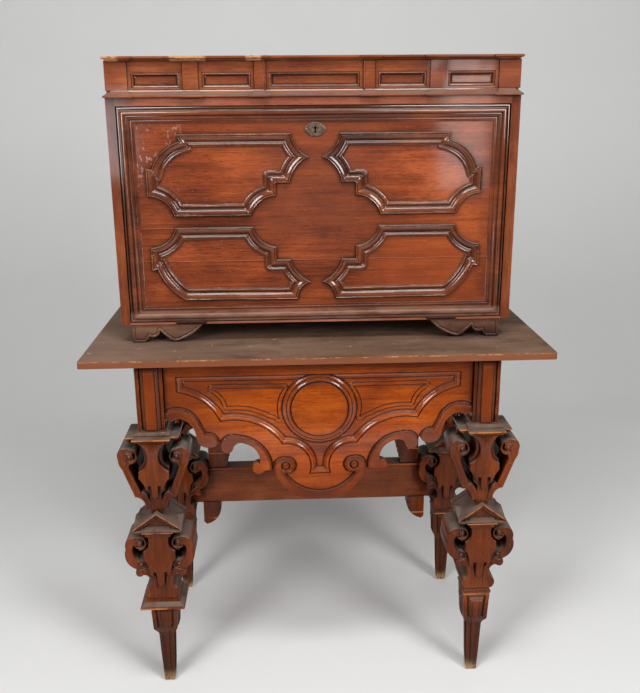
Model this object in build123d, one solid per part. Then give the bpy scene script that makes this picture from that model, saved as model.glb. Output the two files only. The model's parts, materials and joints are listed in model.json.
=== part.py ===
from build123d import *
import math
import os

# Fall-front desk cabinet on a carved four-legged stand.
# Millimetres, +Z up, front towards -Y. Origin: on the floor, under the middle of the table top.

# ---------------------------------------------------------------- driving dimensions: stand
TABLE_WIDTH = 1084.0
TABLE_DEPTH = 556.0
TABLE_THICKNESS = 16.0
TABLE_HEIGHT = 880.0
TABLE_CORNER = 3.0              # broken corners of the top
LEG_SIDE_INSET = 150.5          # table end to leg axis
LEG_FRONT_INSET = 63.0          # table edge to leg axis
POST_WIDTH = 62.0
POST_PANEL_WIDTH = 36.0
POST_PANEL_HEIGHT = 3.0
ABACUS_HALF = 62.0              # half length of each arm of the cross-shaped plate
ABACUS_ARM_HALF = 44.0          # half width of each arm
ABACUS_THICKNESS = 10.0
SKIRT_HEIGHT = 10.0
FRET_DEPTH = 84.0               # pierced blocks, front to back
PLATE_THICKNESS = 9.0           # tassel plates
CAP_HALF = 58.0
CAP_ROOF_THICKNESS = 8.0
CAP_LEDGE_HALF = 34.0
CAP_LEDGE_THICKNESS = 12.0
FOOT_TOP_WIDTH = 66.0
FOOT_SHOULDER_WIDTH = 60.0
FOOT_NECK_WIDTH = 37.0
FOOT_TIP_WIDTH = 26.0
FOOT_TIP_ROUND = 4.0
FOOT_RIB_WIDTH = 26.0
FOOT_RIB_TIP_WIDTH = 10.0
FOOT_RIB_HEIGHT = 3.0
BASE_PLATE_WIDTH = 108.0
BASE_PLATE_THICKNESS = 8.0
APRON_THICKNESS = 24.0
APRON_SETBACK = 12.0            # behind the front faces of the posts
STRAP_RELIEF = 5.0
PANEL_RELIEF = 5.0
BACK_RAIL_HEIGHT = 95.0
STRETCHER_HEIGHT = 112.0
STRETCHER_THICKNESS = 30.0
STRETCHER_CAP_HEIGHT = 14.0
STRETCHER_CAP_OVERHANG = 9.0

# ---------------------------------------------------------------- driving dimensions: case
CASE_SIDE_INSET = 77.0          # table end to case side
CASE_SETBACK = 148.0            # table edge to case front
CASE_BACK_INSET = 8.0           # table edge to case back
CASE_FOOT_HEIGHT = 45.0
CASE_FOOT_INSET = 23.0
CASE_FOOT_LENGTH = 170.0
CASE_FOOT_THICKNESS = 22.0
SIDE_THICKNESS = 20.0
STILE_WIDTH = 21.0
STILE_DEPTH = 26.0
BOTTOM_THICKNESS = 18.0
LIP_HEIGHT = 5.0                # front lip of the bottom board, under the fall front
FALL_OPENING_HEIGHT = 496.0     # lip to top rail
TOP_RAIL_HEIGHT = 18.0
RAIL_DEPTH = 42.0
LEDGE_HEIGHT = 15.0
LEDGE_PROJECTION = 6.0
BREAK_PROJECTION = 6.0          # how far mouldings break forward over the pilasters
FRIEZE_HEIGHT = 63.0
FRIEZE_INSET = 6.0              # frieze ends stand in from the case sides
PANEL_RECESS = 11.0
CORNICE_THICKNESS = 9.0
CORNICE_PROJECTION = 12.0
CORNICE_SIDE_OVERHANG = 3.0
PILASTER_RELIEF = 3.0
BACK_THICKNESS = 10.0
TOP_THICKNESS = 14.0
DIVIDER_THICKNESS = 12.0

# fall front
FALL_THICKNESS = 20.0
FALL_RECESS = 6.0               # panel field behind the face of the stiles
FRAME_WIDTH = 34.0
FRAME_RELIEF = 12.0
BAND_WIDTH = 29.0               # shaped mouldings
BAND_RELIEF = 8.0
BAND_STEP = 5.0                 # set-in of the higher, inner part of a band
SIDE_GAP = 1.5                  # round the fall front
PIN_FORWARD = 1.0               # hinge axis in front of the stile face
PIN_RADIUS = 1.5
PIN_CLEARANCE = 0.05
KNUCKLE_RADIUS = 3.5
KNUCKLE_SIDES = 12
LEAF_THICKNESS = 1.5
LEAF_DEPTH = 20.0
HINGE_LENGTH = 70.0
KNUCKLE_GAP = 0.4

# lock
ESCUTCHEON_WIDTH = 52.0
ESCUTCHEON_HEIGHT = 33.0
ESCUTCHEON_THICKNESS = 2.0
ESCUTCHEON_DROP = 53.0
LOCK_WIDTH = 80.0
LOCK_HEIGHT = 60.0
LOCK_DEPTH = 12.0
BOLT_WIDTH = 22.0
BOLT_THICKNESS = 5.0
BOLT_THROW = 12.0
FIT = 0.5                       # sliding clearance in wood and iron

# frieze drawer
DRAWER_GAP = 0.8
DRAWER_BACK_SPACE = 64.0        # drawer back to the back board
DRAWER_WALL = 8.0

# interior
BANK_SETBACK = 44.0             # bank front behind the case front
BANK_BOARD = 9.0
BANK_BASE = 17.0
ROWS = 3
INNER_DRAWER_WALL = 6.0
INNER_DRAWER_FRONT = 12.0
KNOB_HALF = 7.0
KNOB_LENGTH = 13.0

# curves are cut into chords, which keeps the solids light
CHORD_ERROR = 0.5               # most that a chord leaves its arc
CHORD_TURN = math.radians(26)   # most that the outline turns at a chord's end

# ---------------------------------------------------------------- levels and planes that follow
TABLE_UNDER = TABLE_HEIGHT - TABLE_THICKNESS
LEG_X = TABLE_WIDTH / 2 - LEG_SIDE_INSET
LEG_Y = TABLE_DEPTH / 2 - LEG_FRONT_INSET
CASE_WIDTH = TABLE_WIDTH - 2 * CASE_SIDE_INSET
CASE_FRONT = -TABLE_DEPTH / 2 + CASE_SETBACK
CASE_BACK = TABLE_DEPTH / 2 - CASE_BACK_INSET
CASE_HALF = CASE_WIDTH / 2
CASE_BOTTOM = TABLE_HEIGHT + CASE_FOOT_HEIGHT
LIP_TOP = CASE_BOTTOM + LIP_HEIGHT
OPENING_TOP = LIP_TOP + FALL_OPENING_HEIGHT
RAIL_TOP = OPENING_TOP + TOP_RAIL_HEIGHT
LEDGE_TOP = RAIL_TOP + LEDGE_HEIGHT
FRIEZE_TOP = LEDGE_TOP + FRIEZE_HEIGHT
CORNICE_TOP = FRIEZE_TOP + CORNICE_THICKNESS
FIELD_Y = CASE_FRONT + FALL_RECESS
FALL_BACK = FIELD_Y + FALL_THICKNESS
OPENING_HALF = CASE_HALF - STILE_WIDTH
FALL_HALF = OPENING_HALF - SIDE_GAP
FALL_LOW = LIP_TOP + SIDE_GAP
FALL_HIGH = OPENING_TOP - SIDE_GAP
FIELD_HALF = FALL_HALF - FRAME_WIDTH + 1.5
PIN_Y = CASE_FRONT - PIN_FORWARD
PIN_Z = LIP_TOP
INNER_HALF = CASE_HALF - SIDE_THICKNESS
FLOOR = CASE_BOTTOM + BOTTOM_THICKNESS

os.makedirs("parts", exist_ok=True)


def up(z):
    """Level on the stand, drawn for a table 880 high."""
    return z * TABLE_HEIGHT / 880


def along(x):
    """Distance from the middle of the case, drawn for a case 930 wide."""
    return x * CASE_WIDTH / 930


ABACUS_LEVEL = up(690)          # top of the plate under the post
CAP_APEX_LEVEL = up(500)        # top of the cross gable
CAP_EAVES_LEVEL = up(457)
LOWER_BLOCK_LEVEL = up(440)     # underside of the cap's ledge
FOOT_LEVEL = up(236)            # top of the tapered foot
FOOT_SHOULDER_LEVEL = up(170)
FOOT_NECK_LEVEL = up(146)
STRETCHER_TOP_LEVEL = up(402)
END_PILASTER = (along(414), along(450))
SECOND_PILASTER = (along(258.5), along(292))
INNER_PILASTER = (along(113), along(134))
HINGE_OFFSET = along(300)       # hinge middle from the middle of the case
NICHE_WIDTH = along(250)


# ---------------------------------------------------------------- helpers
def block(x0, x1, y0, y1, z0, z1):
    """Board between two corners."""
    size = Box(x1 - x0, y1 - y0, z1 - z0)
    return Pos((x0 + x1) / 2, (y0 + y1) / 2, (z0 + z1) / 2) * size


def outline(*runs):
    """Closed face in the XZ plane; each run adds points, and the last one ends at the start."""
    points = [point for run in runs for point in run]
    return make_face(Wire.make_polygon([(x, 0, z) for x, z in points]))


def line(a, b):
    return [b]


def turn_for(radius):
    """Turn of one chord on an arc of this radius."""
    return min(CHORD_TURN, 2 * math.acos(1 - CHORD_ERROR / radius))


def arc(a, via, b):
    """Chords from a through via to b, without their start."""
    bx, bz = via[0] - a[0], via[1] - a[1]
    cx, cz = b[0] - a[0], b[1] - a[1]
    double = 2 * (bx * cz - bz * cx)
    ux = (cz * (bx ** 2 + bz ** 2) - bz * (cx ** 2 + cz ** 2)) / double
    uz = (bx * (cx ** 2 + cz ** 2) - cx * (bx ** 2 + bz ** 2)) / double
    radius = math.hypot(ux, uz)
    start = math.atan2(-uz, -ux)
    turn = (math.atan2(cz - uz, cx - ux) - start) % math.tau
    if double < 0:
        turn -= math.tau
    count = max(2, math.ceil(abs(turn) / turn_for(radius)))
    angles = [start + turn * i / count for i in range(1, count)]
    points = [(a[0] + ux + radius * math.cos(t), a[1] + uz + radius * math.sin(t)) for t in angles]
    return points + [b]


def disc(x, z, radius):
    count = math.ceil(math.tau / turn_for(radius))
    angles = [math.tau * i / count for i in range(count)]
    return outline([(x + radius * math.cos(t), z + radius * math.sin(t)) for t in angles])


def slab(face, y0, y1):
    """Extrude an XZ face between two depths."""
    return Pos(0, y0, 0) * extrude(face, amount=y1 - y0, dir=(0, 1, 0))


def mirrored(shape):
    """Left-hand copy of a right-hand shape."""
    return mirror(shape, about=Plane.YZ)


def save(name, *shapes):
    """Write one node; several shapes stay separate solids of it."""
    solids = []
    for shape in shapes:
        solids.extend(shape.solids())
    node = solids[0] if len(solids) == 1 else Compound(children=solids)
    export_step(node, f"parts/{name}.step")


def stack(rings):
    """Solid with flat sides through closed rings of as many points each."""
    faces = [make_face(Wire.make_polygon(rings[0])), make_face(Wire.make_polygon(rings[-1]))]
    for low, high in zip(rings, rings[1:]):
        for i in range(len(low)):
            j = (i + 1) % len(low)
            faces.append(make_face(Wire.make_polygon([low[i], low[j], high[j], high[i]])))
    return Part() + Solid(Shell([face.faces()[0] for face in faces]))


def frustum(base, top):
    """Solid between two rectangles given as (x0, x1, z0, z1, y)."""
    rings = [[(x0, y, z0), (x1, y, z0), (x1, y, z1), (x0, y, z1)] for x0, x1, z0, z1, y in (base, top)]
    return stack(rings)


def tower(sections):
    """Flat-sided solid through (z, x_size, y_size) sections."""
    rings = []
    for z, x, y in sections:
        rings.append([(-x / 2, -y / 2, z), (x / 2, -y / 2, z), (x / 2, y / 2, z), (-x / 2, y / 2, z)])
    return stack(rings)


# ---------------------------------------------------------------- legs
POST_HALF = POST_WIDTH / 2
FRET_HALF = FRET_DEPTH / 2
ABACUS_LOW = ABACUS_LEVEL - ABACUS_THICKNESS
VOLUTE = (55.0, up(640))
VOLUTE_RADIUS = 18.0
LOWER_VOLUTE = (47.0, up(413))
LOWER_VOLUTE_RADIUS = 17.0
LOWER_ROLL = (46.0, up(355))
LOWER_ROLL_RADIUS = 13.0
HOOK_KNOB = (51.0, up(333))
HOOK_KNOB_RADIUS = 9.5
HOOK_BASE_LEVEL = up(262)


def raised_panel(half, z0, z1):
    """Tapered panel that stands proud of a front face at y = -half."""
    slope = POST_PANEL_WIDTH / 3
    outer = (-POST_PANEL_WIDTH / 2, POST_PANEL_WIDTH / 2, z0, z1, -half)
    inner = (-slope / 2, slope / 2, z0 + slope, z1 - slope, -half - POST_PANEL_HEIGHT)
    return frustum(outer, inner)


def leg_post(panel_turns):
    """Square post with raised panels on its outward faces, on a cross-shaped plate."""
    skirt_half = POST_HALF + SKIRT_HEIGHT
    post = block(-POST_HALF, POST_HALF, -POST_HALF, POST_HALF, ABACUS_LEVEL, TABLE_UNDER)
    skirt = tower([(ABACUS_LEVEL, 2 * skirt_half, 2 * skirt_half),
                   (ABACUS_LEVEL + SKIRT_HEIGHT, POST_WIDTH, POST_WIDTH)])
    arm_x = block(-ABACUS_HALF, ABACUS_HALF, -ABACUS_ARM_HALF, ABACUS_ARM_HALF, ABACUS_LOW, ABACUS_LEVEL)
    arm_y = block(-ABACUS_ARM_HALF, ABACUS_ARM_HALF, -ABACUS_HALF, ABACUS_HALF, ABACUS_LOW, ABACUS_LEVEL)
    post = post + skirt + arm_x + arm_y
    panel = raised_panel(POST_HALF, ABACUS_LEVEL + SKIRT_HEIGHT, TABLE_UNDER - SKIRT_HEIGHT)
    for turn in panel_turns:
        post = post + Rot(0, 0, turn) * panel
    return post


def upper_core():
    right = [line((0, ABACUS_LOW), (38, ABACUS_LOW)),
             arc((38, ABACUS_LOW), (21, up(640)), (35, up(609))),
             line((35, up(609)), (37, up(588))),
             arc((37, up(588)), (28, up(574)), (24, up(552))),
             line((24, up(552)), (14, up(545))),
             line((14, up(545)), (14, CAP_EAVES_LEVEL)),
             line((14, CAP_EAVES_LEVEL), (0, CAP_EAVES_LEVEL)),
             line((0, CAP_EAVES_LEVEL), (0, ABACUS_LOW))]
    return outline(*right)


def upper_scroll():
    """Volute, slanting arm and small curved foot that runs in to the core."""
    arm = outline(arc((50, up(657)), (76, up(656)), (82, up(634))),
                  arc((82, up(634)), (80, up(620)), (75, up(610))),
                  line((75, up(610)), (48, up(535))),
                  line((48, up(535)), (33, up(548))),
                  line((33, up(548)), (57, up(612))),
                  line((57, up(612)), (50, up(657))))
    foot = outline(line((33, up(550)), (48, up(535))),
                   arc((48, up(535)), (31, up(526)), (27, up(506))),
                   line((27, up(506)), (12, up(506))),
                   line((12, up(506)), (12, up(519))),
                   arc((12, up(519)), (20, up(540)), (33, up(550))))
    return arm + foot + disc(*VOLUTE, VOLUTE_RADIUS)


def both_sides(face):
    return face + mirrored(face)


def upper_fret():
    body = slab(both_sides(upper_core() + upper_scroll()), -FRET_HALF, FRET_HALF)
    return body - leg_cap()


def gable_face():
    low = CAP_EAVES_LEVEL - CAP_ROOF_THICKNESS
    return outline([(-CAP_HALF, low), (CAP_HALF, low), (CAP_HALF, CAP_EAVES_LEVEL), (0, CAP_APEX_LEVEL),
                    (-CAP_HALF, CAP_EAVES_LEVEL)])


def tympanum_face():
    drop = CAP_ROOF_THICKNESS * 1.2
    inner = CAP_HALF - 2 * CAP_ROOF_THICKNESS
    low = CAP_EAVES_LEVEL - CAP_ROOF_THICKNESS
    return outline([(-inner, low), (inner, low), (0, CAP_APEX_LEVEL - drop)])


def leg_cap():
    """Cross gable with sunk gable fields, on a projecting ledge."""
    depth = CAP_HALF
    gable = slab(gable_face(), -depth, depth)
    cap = gable + Rot(0, 0, 90) * gable
    field = slab(tympanum_face(), -depth, -depth + CAP_ROOF_THICKNESS)
    for turn in (0, 90, 180, 270):
        cap = cap - Rot(0, 0, turn) * field
    ledge_low = LOWER_BLOCK_LEVEL
    ledge_high = ledge_low + CAP_LEDGE_THICKNESS
    ledge_depth = FRET_HALF + PLATE_THICKNESS + 4
    ledge = tower([(ledge_low, 2 * CAP_LEDGE_HALF, 2 * ledge_depth),
                   (ledge_low + CAP_LEDGE_THICKNESS / 3, 2 * CAP_LEDGE_HALF, 2 * ledge_depth),
                   (ledge_high, 2 * CAP_LEDGE_HALF - 8, 2 * ledge_depth - 8)])
    return cap + ledge


def lower_core():
    return outline([(0, LOWER_BLOCK_LEVEL), (30, LOWER_BLOCK_LEVEL), (24, up(428)), (24, up(345)),
                    (12, up(318)),
                      (12, HOOK_BASE_LEVEL), (0, HOOK_BASE_LEVEL)])


def lower_scroll():
    """C-scroll between two rolls, tied to the core at its lower roll."""
    band = outline(arc((47, up(430)), (73, up(422)), (81, up(398))),
                   arc((81, up(398)), (76, up(360)), (50, up(343))),
                   line((50, up(343)), (50, up(368))),
                   arc((50, up(368)), (61, up(382)), (62, up(404))),
                   line((62, up(404)), (47, up(430))))
    tie = outline([(22, up(348)), (46, up(348)), (46, up(362)), (22, up(362))])
    return band + tie + disc(*LOWER_VOLUTE, LOWER_VOLUTE_RADIUS) + disc(*LOWER_ROLL, LOWER_ROLL_RADIUS)


def hook():
    """Curl that turns out at its top and again at its base."""
    body = outline(line((10, HOOK_BASE_LEVEL), (10, up(300))),
                   arc((10, up(300)), (18, up(335)), (40, up(348))),
                   arc((40, up(348)), (54, up(346)), (60, up(334))),
                   line((60, up(334)), (50, up(324))),
                   arc((50, up(324)), (33, up(325)), (27, up(311))),
                   arc((27, up(311)), (28, up(299)), (36, up(290))),
                   arc((36, up(290)), (40, up(275)), (31, HOOK_BASE_LEVEL)),
                   line((31, HOOK_BASE_LEVEL), (10, HOOK_BASE_LEVEL)))
    return body + disc(*HOOK_KNOB, HOOK_KNOB_RADIUS)


def foot():
    """Square foot: a panelled block, an ogee shoulder and a ribbed taper."""
    body = tower([(HOOK_BASE_LEVEL, FOOT_TOP_WIDTH - 4, FOOT_TOP_WIDTH - 4),
                  (FOOT_LEVEL, FOOT_TOP_WIDTH, FOOT_TOP_WIDTH),
                  (FOOT_SHOULDER_LEVEL, FOOT_SHOULDER_WIDTH, FOOT_SHOULDER_WIDTH),
                  (FOOT_SHOULDER_LEVEL - 10, FOOT_SHOULDER_WIDTH - 10, FOOT_SHOULDER_WIDTH - 10),
                  (FOOT_NECK_LEVEL, FOOT_NECK_WIDTH, FOOT_NECK_WIDTH),
                  (FOOT_TIP_ROUND, FOOT_TIP_WIDTH, FOOT_TIP_WIDTH),
                  (0, FOOT_TIP_WIDTH - 2 * FOOT_TIP_ROUND, FOOT_TIP_WIDTH - 2 * FOOT_TIP_ROUND)])
    proud = 2 * FOOT_RIB_HEIGHT
    rib_top = FOOT_LEVEL - 14
    rib = tower([(rib_top, FOOT_TOP_WIDTH - 4, FOOT_RIB_WIDTH),
                 (rib_top - 8, FOOT_TOP_WIDTH - 2 + proud, FOOT_RIB_WIDTH),
                 (FOOT_SHOULDER_LEVEL, FOOT_SHOULDER_WIDTH + proud, FOOT_RIB_WIDTH),
                 (FOOT_NECK_LEVEL, FOOT_NECK_WIDTH + proud, FOOT_RIB_TIP_WIDTH + 4),
                 (FOOT_TIP_ROUND, FOOT_TIP_WIDTH + proud - 2, FOOT_RIB_TIP_WIDTH)])
    return body + rib + Rot(0, 0, 90) * rib


def lower_fret(with_base_plate):
    body = slab(both_sides(lower_core() + lower_scroll() + hook()), -FRET_HALF, FRET_HALF)
    body = body + foot()
    if with_base_plate:
        body = body + tower([(FOOT_LEVEL, BASE_PLATE_WIDTH, BASE_PLATE_WIDTH),
                             (FOOT_LEVEL + BASE_PLATE_THICKNESS, BASE_PLATE_WIDTH, BASE_PLATE_WIDTH),
                             (HOOK_BASE_LEVEL, FOOT_TOP_WIDTH + 14, FOOT_TOP_WIDTH + 14)])
    return body


def upper_plate_face():
    right = [line((0, ABACUS_LOW), (40, ABACUS_LOW)),
             arc((40, ABACUS_LOW), (12.5, up(641)), (35, up(603))),
             line((35, up(603)), (36, up(587))),
             arc((36, up(587)), (27, up(574)), (20, up(557))),
             line((20, up(557)), (14.5, up(557))),
             line((14.5, up(557)), (14.5, up(567))),
             line((14.5, up(567)), (8.5, up(567))),
             line((8.5, up(567)), (7.5, up(541))),
             line((7.5, up(541)), (0, up(533))),
             line((0, up(533)), (0, ABACUS_LOW))]
    return both_sides(outline(*right))


def lower_plate_face():
    right = [line((0, LOWER_BLOCK_LEVEL), (29, LOWER_BLOCK_LEVEL)),
             arc((29, LOWER_BLOCK_LEVEL), (24, up(414)), (38, up(394))),
             line((38, up(394)), (39, up(374))),
             line((39, up(374)), (31, up(363))),
             line((31, up(363)), (24, up(330))),
             line((24, up(330)), (16, up(330))),
             line((16, up(330)), (16, up(338))),
             line((16, up(338)), (10, up(338))),
             line((10, up(338)), (8.5, up(306))),
             line((8.5, up(306)), (0, up(296))),
             line((0, up(296)), (0, LOWER_BLOCK_LEVEL))]
    return both_sides(outline(*right))


def tassel_plates():
    plates = []
    for face in (upper_plate_face(), lower_plate_face()):
        plate = slab(face, -FRET_HALF - PLATE_THICKNESS, -FRET_HALF)
        plates.append(plate)
        plates.append(mirror(plate, about=Plane.XZ))
    return plates


# ---------------------------------------------------------------- stand
APRON_HALF = LEG_X - POST_HALF
APRON_FRONT = -(LEG_Y + POST_HALF - APRON_SETBACK)
APRON_LOW_END = up(735)
CIRCLE = (0.0, up(740))
CIRCLE_INNER = 66.0
CIRCLE_OUTER = 88.0


def at(x, z):
    """Point of the front apron, drawn for 360.5 from the middle to a post."""
    return x * APRON_HALF / 360.5, up(z)


def table_top():
    end, edge = TABLE_WIDTH / 2, TABLE_DEPTH / 2
    board = block(-end, end, -edge, edge, TABLE_UNDER, TABLE_HEIGHT)
    return chamfer(board.edges().filter_by(Axis.Z), length=TABLE_CORNER)


def strap_scrolls():
    """Three flat straps that roll into knobs along the lower edge of the front apron."""
    end = APRON_HALF
    outer = outline(line((end, up(742)), at(348, 749)),
                    arc(at(348, 749), at(312, 748), at(283, 714)),
                    line(at(283, 714), at(264, 682)),
                    line(at(264, 682), at(270, 652)),
                    line(at(270, 652), at(286, 661)),
                    line(at(286, 661), at(294, 686)),
                    arc(at(294, 686), at(308, 713), at(331, 726)),
                    line(at(331, 726), at(348, 716)),
                    line(at(348, 716), (end, up(724))),
                    line((end, up(724)), (end, up(742))))
    middle = outline(arc(at(233, 653), at(212, 677), at(182, 675)),
                     arc(at(182, 675), at(134, 645), at(114, 590)),
                     line(at(114, 590), at(120, 585)),
                     line(at(120, 585), at(140, 603)),
                     arc(at(140, 603), at(146, 636), at(178, 657)),
                     arc(at(178, 657), at(192, 658), at(205, 648)),
                     line(at(205, 648), at(233, 653)))
    inner = outline(line(at(0, 530), at(0, 511)),
                    arc(at(0, 511), at(56, 521), at(96, 558)),
                    arc(at(96, 558), at(104, 574), at(106, 597)),
                    line(at(106, 597), at(82, 597)),
                    arc(at(82, 597), at(60, 556), at(0, 530)))
    knobs = [disc(*at(255, 665), 15), disc(*at(219, 648), 14), disc(*at(147, 592), 14),
             disc(*at(83, 597), 23)]
    straps = outer + middle + inner
    for knob in knobs:
        straps = straps + knob
    return both_sides(straps)


def front_apron_body():
    spine = [(0, TABLE_UNDER), (APRON_HALF, TABLE_UNDER), (APRON_HALF, APRON_LOW_END), at(330, 742),
             at(292, 706),
             at(262, 668), at(230, 655), at(182, 664), at(150, 648), at(128, 612), at(117, 588),
             at(100, 580), at(60, 532),
             at(0, 518)]
    return both_sides(outline(spine))


def apron_panel_outline():
    """Upper moulded panel: straight top, two lobes each side and a pendant below the circle."""
    right = [line(at(0, 827), at(332, 827)),
             line(at(332, 827), at(332, 788)),
             arc(at(332, 788), at(275, 765), at(233, 713)),
             arc(at(233, 713), at(158, 708), at(88, 652)),
             arc(at(88, 652), at(43, 640), at(27, 575)),
             line(at(27, 575), at(0, 575)),
             line(at(0, 575), at(0, 827))]
    return both_sides(outline(*right))


def apron_panel_inner():
    right = [line(at(0, 813), at(317, 813)),
             line(at(317, 813), at(317, 799)),
             arc(at(317, 799), at(260, 778), at(226, 727)),
             arc(at(226, 727), at(150, 720), at(84, 666)),
             arc(at(84, 666), at(30, 648), at(13, 588)),
             line(at(13, 588), at(0, 588)),
             line(at(0, 588), at(0, 813))]
    return both_sides(outline(*right))


def front_apron():
    back = APRON_FRONT + APRON_THICKNESS
    straps = strap_scrolls()
    board = slab(front_apron_body() + straps, APRON_FRONT, back)
    raised_straps = slab(straps, APRON_FRONT - STRAP_RELIEF, APRON_FRONT)
    ring = disc(*CIRCLE, CIRCLE_OUTER) - disc(*CIRCLE, CIRCLE_INNER)
    band = apron_panel_outline() - apron_panel_inner() - disc(*CIRCLE, CIRCLE_OUTER)
    panel = slab(band, APRON_FRONT - PANEL_RELIEF, APRON_FRONT)
    circle = slab(ring, APRON_FRONT - PANEL_RELIEF, APRON_FRONT)
    return board + raised_straps + panel + circle


SIDE_APRON_HALF = LEG_Y - POST_HALF


def side_apron():
    """Right-hand apron, drawn in the XZ plane and turned to run front to back."""
    end = SIDE_APRON_HALF
    strap = outline(line((end, up(742)), (end - 12, up(749))),
                    arc((end - 12, up(749)), (end - 48, up(748)), (end - 77, up(714))),
                    line((end - 77, up(714)), (end - 96, up(682))),
                    line((end - 96, up(682)), (end - 90, up(652))),
                    line((end - 90, up(652)), (end - 74, up(661))),
                    line((end - 74, up(661)), (end - 66, up(686))),
                    arc((end - 66, up(686)), (end - 52, up(713)), (end - 29, up(726))),
                    line((end - 29, up(726)), (end - 12, up(716))),
                    line((end - 12, up(716)), (end, up(724))),
                    line((end, up(724)), (end, up(742))))
    middle = outline(arc((85, up(655)), (60, up(622)), (0, up(610))), line((0, up(610)), (0, up(632))),
                     arc((0, up(632)), (48, up(642)), (70, up(668))), line((70, up(668)), (85, up(655))))
    straps = both_sides(strap + middle + disc(end - 105, up(665), 15))
    body = both_sides(outline([(0, TABLE_UNDER), (end, TABLE_UNDER), (end, APRON_LOW_END),
                               (end - 30, up(742)),
                                 (end - 68, up(706)), (end - 98, up(668)), (60, up(640)), (0, up(620))]))
    board = slab(body + straps, 0, APRON_THICKNESS)
    relief = slab(straps, -STRAP_RELIEF, 0)
    face_x = LEG_X + POST_HALF - APRON_SETBACK
    return Pos(face_x, 0, 0) * (Rot(0, 0, 90) * (board + relief))


def back_rail():
    face = LEG_Y + POST_HALF - APRON_SETBACK
    low = TABLE_UNDER - BACK_RAIL_HEIGHT
    return block(-APRON_HALF, APRON_HALF, face - APRON_THICKNESS, face, low, TABLE_UNDER)


STRETCHER_END = LEG_X - 24.0    # meets the straight sides of the lower leg cores


def rear_stretcher():
    low = STRETCHER_TOP_LEVEL - STRETCHER_HEIGHT
    half = STRETCHER_THICKNESS / 2
    cap_half = half + STRETCHER_CAP_OVERHANG
    cap_low = STRETCHER_TOP_LEVEL - STRETCHER_CAP_HEIGHT
    board = block(-STRETCHER_END, STRETCHER_END, LEG_Y - half, LEG_Y + half, low, cap_low)
    profile = [(LEG_Y - half, cap_low), (LEG_Y - half - 3, cap_low + 4), (LEG_Y - cap_half, cap_low + 8),
               (LEG_Y - cap_half, STRETCHER_TOP_LEVEL), (LEG_Y + cap_half, STRETCHER_TOP_LEVEL),
               (LEG_Y + cap_half, cap_low + 8), (LEG_Y + half + 3, cap_low + 4), (LEG_Y + half, cap_low)]
    wire = Wire.make_polygon([(-STRETCHER_END, y, z) for y, z in profile])
    cap = extrude(make_face(wire), amount=2 * STRETCHER_END, dir=(1, 0, 0))
    return board + cap


CONSOLE_RIBS = 5
CONSOLE_HEIGHT = 82.0
CONSOLE_GAP = 1.0
SCROLL_REACH = 83.0             # leg axis to the outermost point of the scrolls, with clearance
CONSOLE_DEPTH = 40.0
CORBEL_WIDTH = 50.0
CORBEL_DROP = 70.0


def stretcher_bracket():
    """Left-hand pair: ribbed console on the stretcher and rounded corbel under it."""
    near = -LEG_X + SCROLL_REACH
    rib = CONSOLE_HEIGHT / CONSOLE_RIBS
    runs = [line((near, STRETCHER_TOP_LEVEL), (near + 48, STRETCHER_TOP_LEVEL))]
    for i in range(CONSOLE_RIBS):
        low = (near + 48 + 4 * i, STRETCHER_TOP_LEVEL + rib * i)
        high = (low[0], low[1] + rib)
        step = (high[0] + 4, high[1])
        runs.append(arc(low, (low[0] + 6, low[1] + rib / 2), high))
        if i < CONSOLE_RIBS - 1:
            runs.append(line(high, step))
        else:
            runs.append(line(high, (near, high[1])))
    runs.append(line((near, STRETCHER_TOP_LEVEL + CONSOLE_HEIGHT), (near, STRETCHER_TOP_LEVEL)))
    console = slab(outline(*runs), LEG_Y - CONSOLE_DEPTH / 2, LEG_Y + CONSOLE_DEPTH / 2)
    top = STRETCHER_TOP_LEVEL - STRETCHER_HEIGHT
    start = -LEG_X + HOOK_KNOB[0] + HOOK_KNOB_RADIUS + CONSOLE_GAP
    corbel_face = outline(line((start, top), (start + CORBEL_WIDTH, top)),
                          arc((start + CORBEL_WIDTH, top),
                              (start + CORBEL_WIDTH * 0.82, top - CORBEL_DROP * 0.7),
                              (start + 8, top - CORBEL_DROP)),
                          line((start + 8, top - CORBEL_DROP), (start, top - CORBEL_DROP + 8)),
                          line((start, top - CORBEL_DROP + 8), (start, top)))
    corbel = slab(corbel_face, LEG_Y - CONSOLE_DEPTH / 2, LEG_Y + CONSOLE_DEPTH / 2)
    return [console, corbel]


def build_stand():
    save("table_top", table_top())
    upper = upper_fret()
    cap = leg_cap()
    plates = tassel_plates()
    plain_lower = lower_fret(False)
    plated_lower = lower_fret(True)
    stretcher = rear_stretcher()
    legs = {"front_left": (-1, -1), "front_right": (1, -1), "back_left": (-1, 1), "back_right": (1, 1)}
    for name, (side, end) in legs.items():
        place = Pos(side * LEG_X, end * LEG_Y, 0)
        lower = place * (plated_lower if name == "front_left" else plain_lower)
        if end > 0:
            lower = lower - stretcher
        outward = (0 if end < 0 else 180, 90 if side > 0 else 270)
        save(f"{name}_leg_post", place * leg_post(outward))
        save(f"{name}_leg_upper_scrolls", place * upper)
        save(f"{name}_leg_gable_cap", place * cap)
        save(f"{name}_leg_lower_scrolls_and_foot", lower)
        save(f"{name}_leg_tassel_plates", *[place * plate for plate in plates])
    save("front_apron", front_apron())
    right = side_apron()
    save("right_apron", right)
    save("left_apron", mirrored(right))
    save("back_rail", back_rail())
    save("rear_stretcher", stretcher)
    pair = stretcher_bracket()
    save("left_stretcher_brackets", *pair)
    save("right_stretcher_brackets", *[mirrored(piece) for piece in pair])


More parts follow.
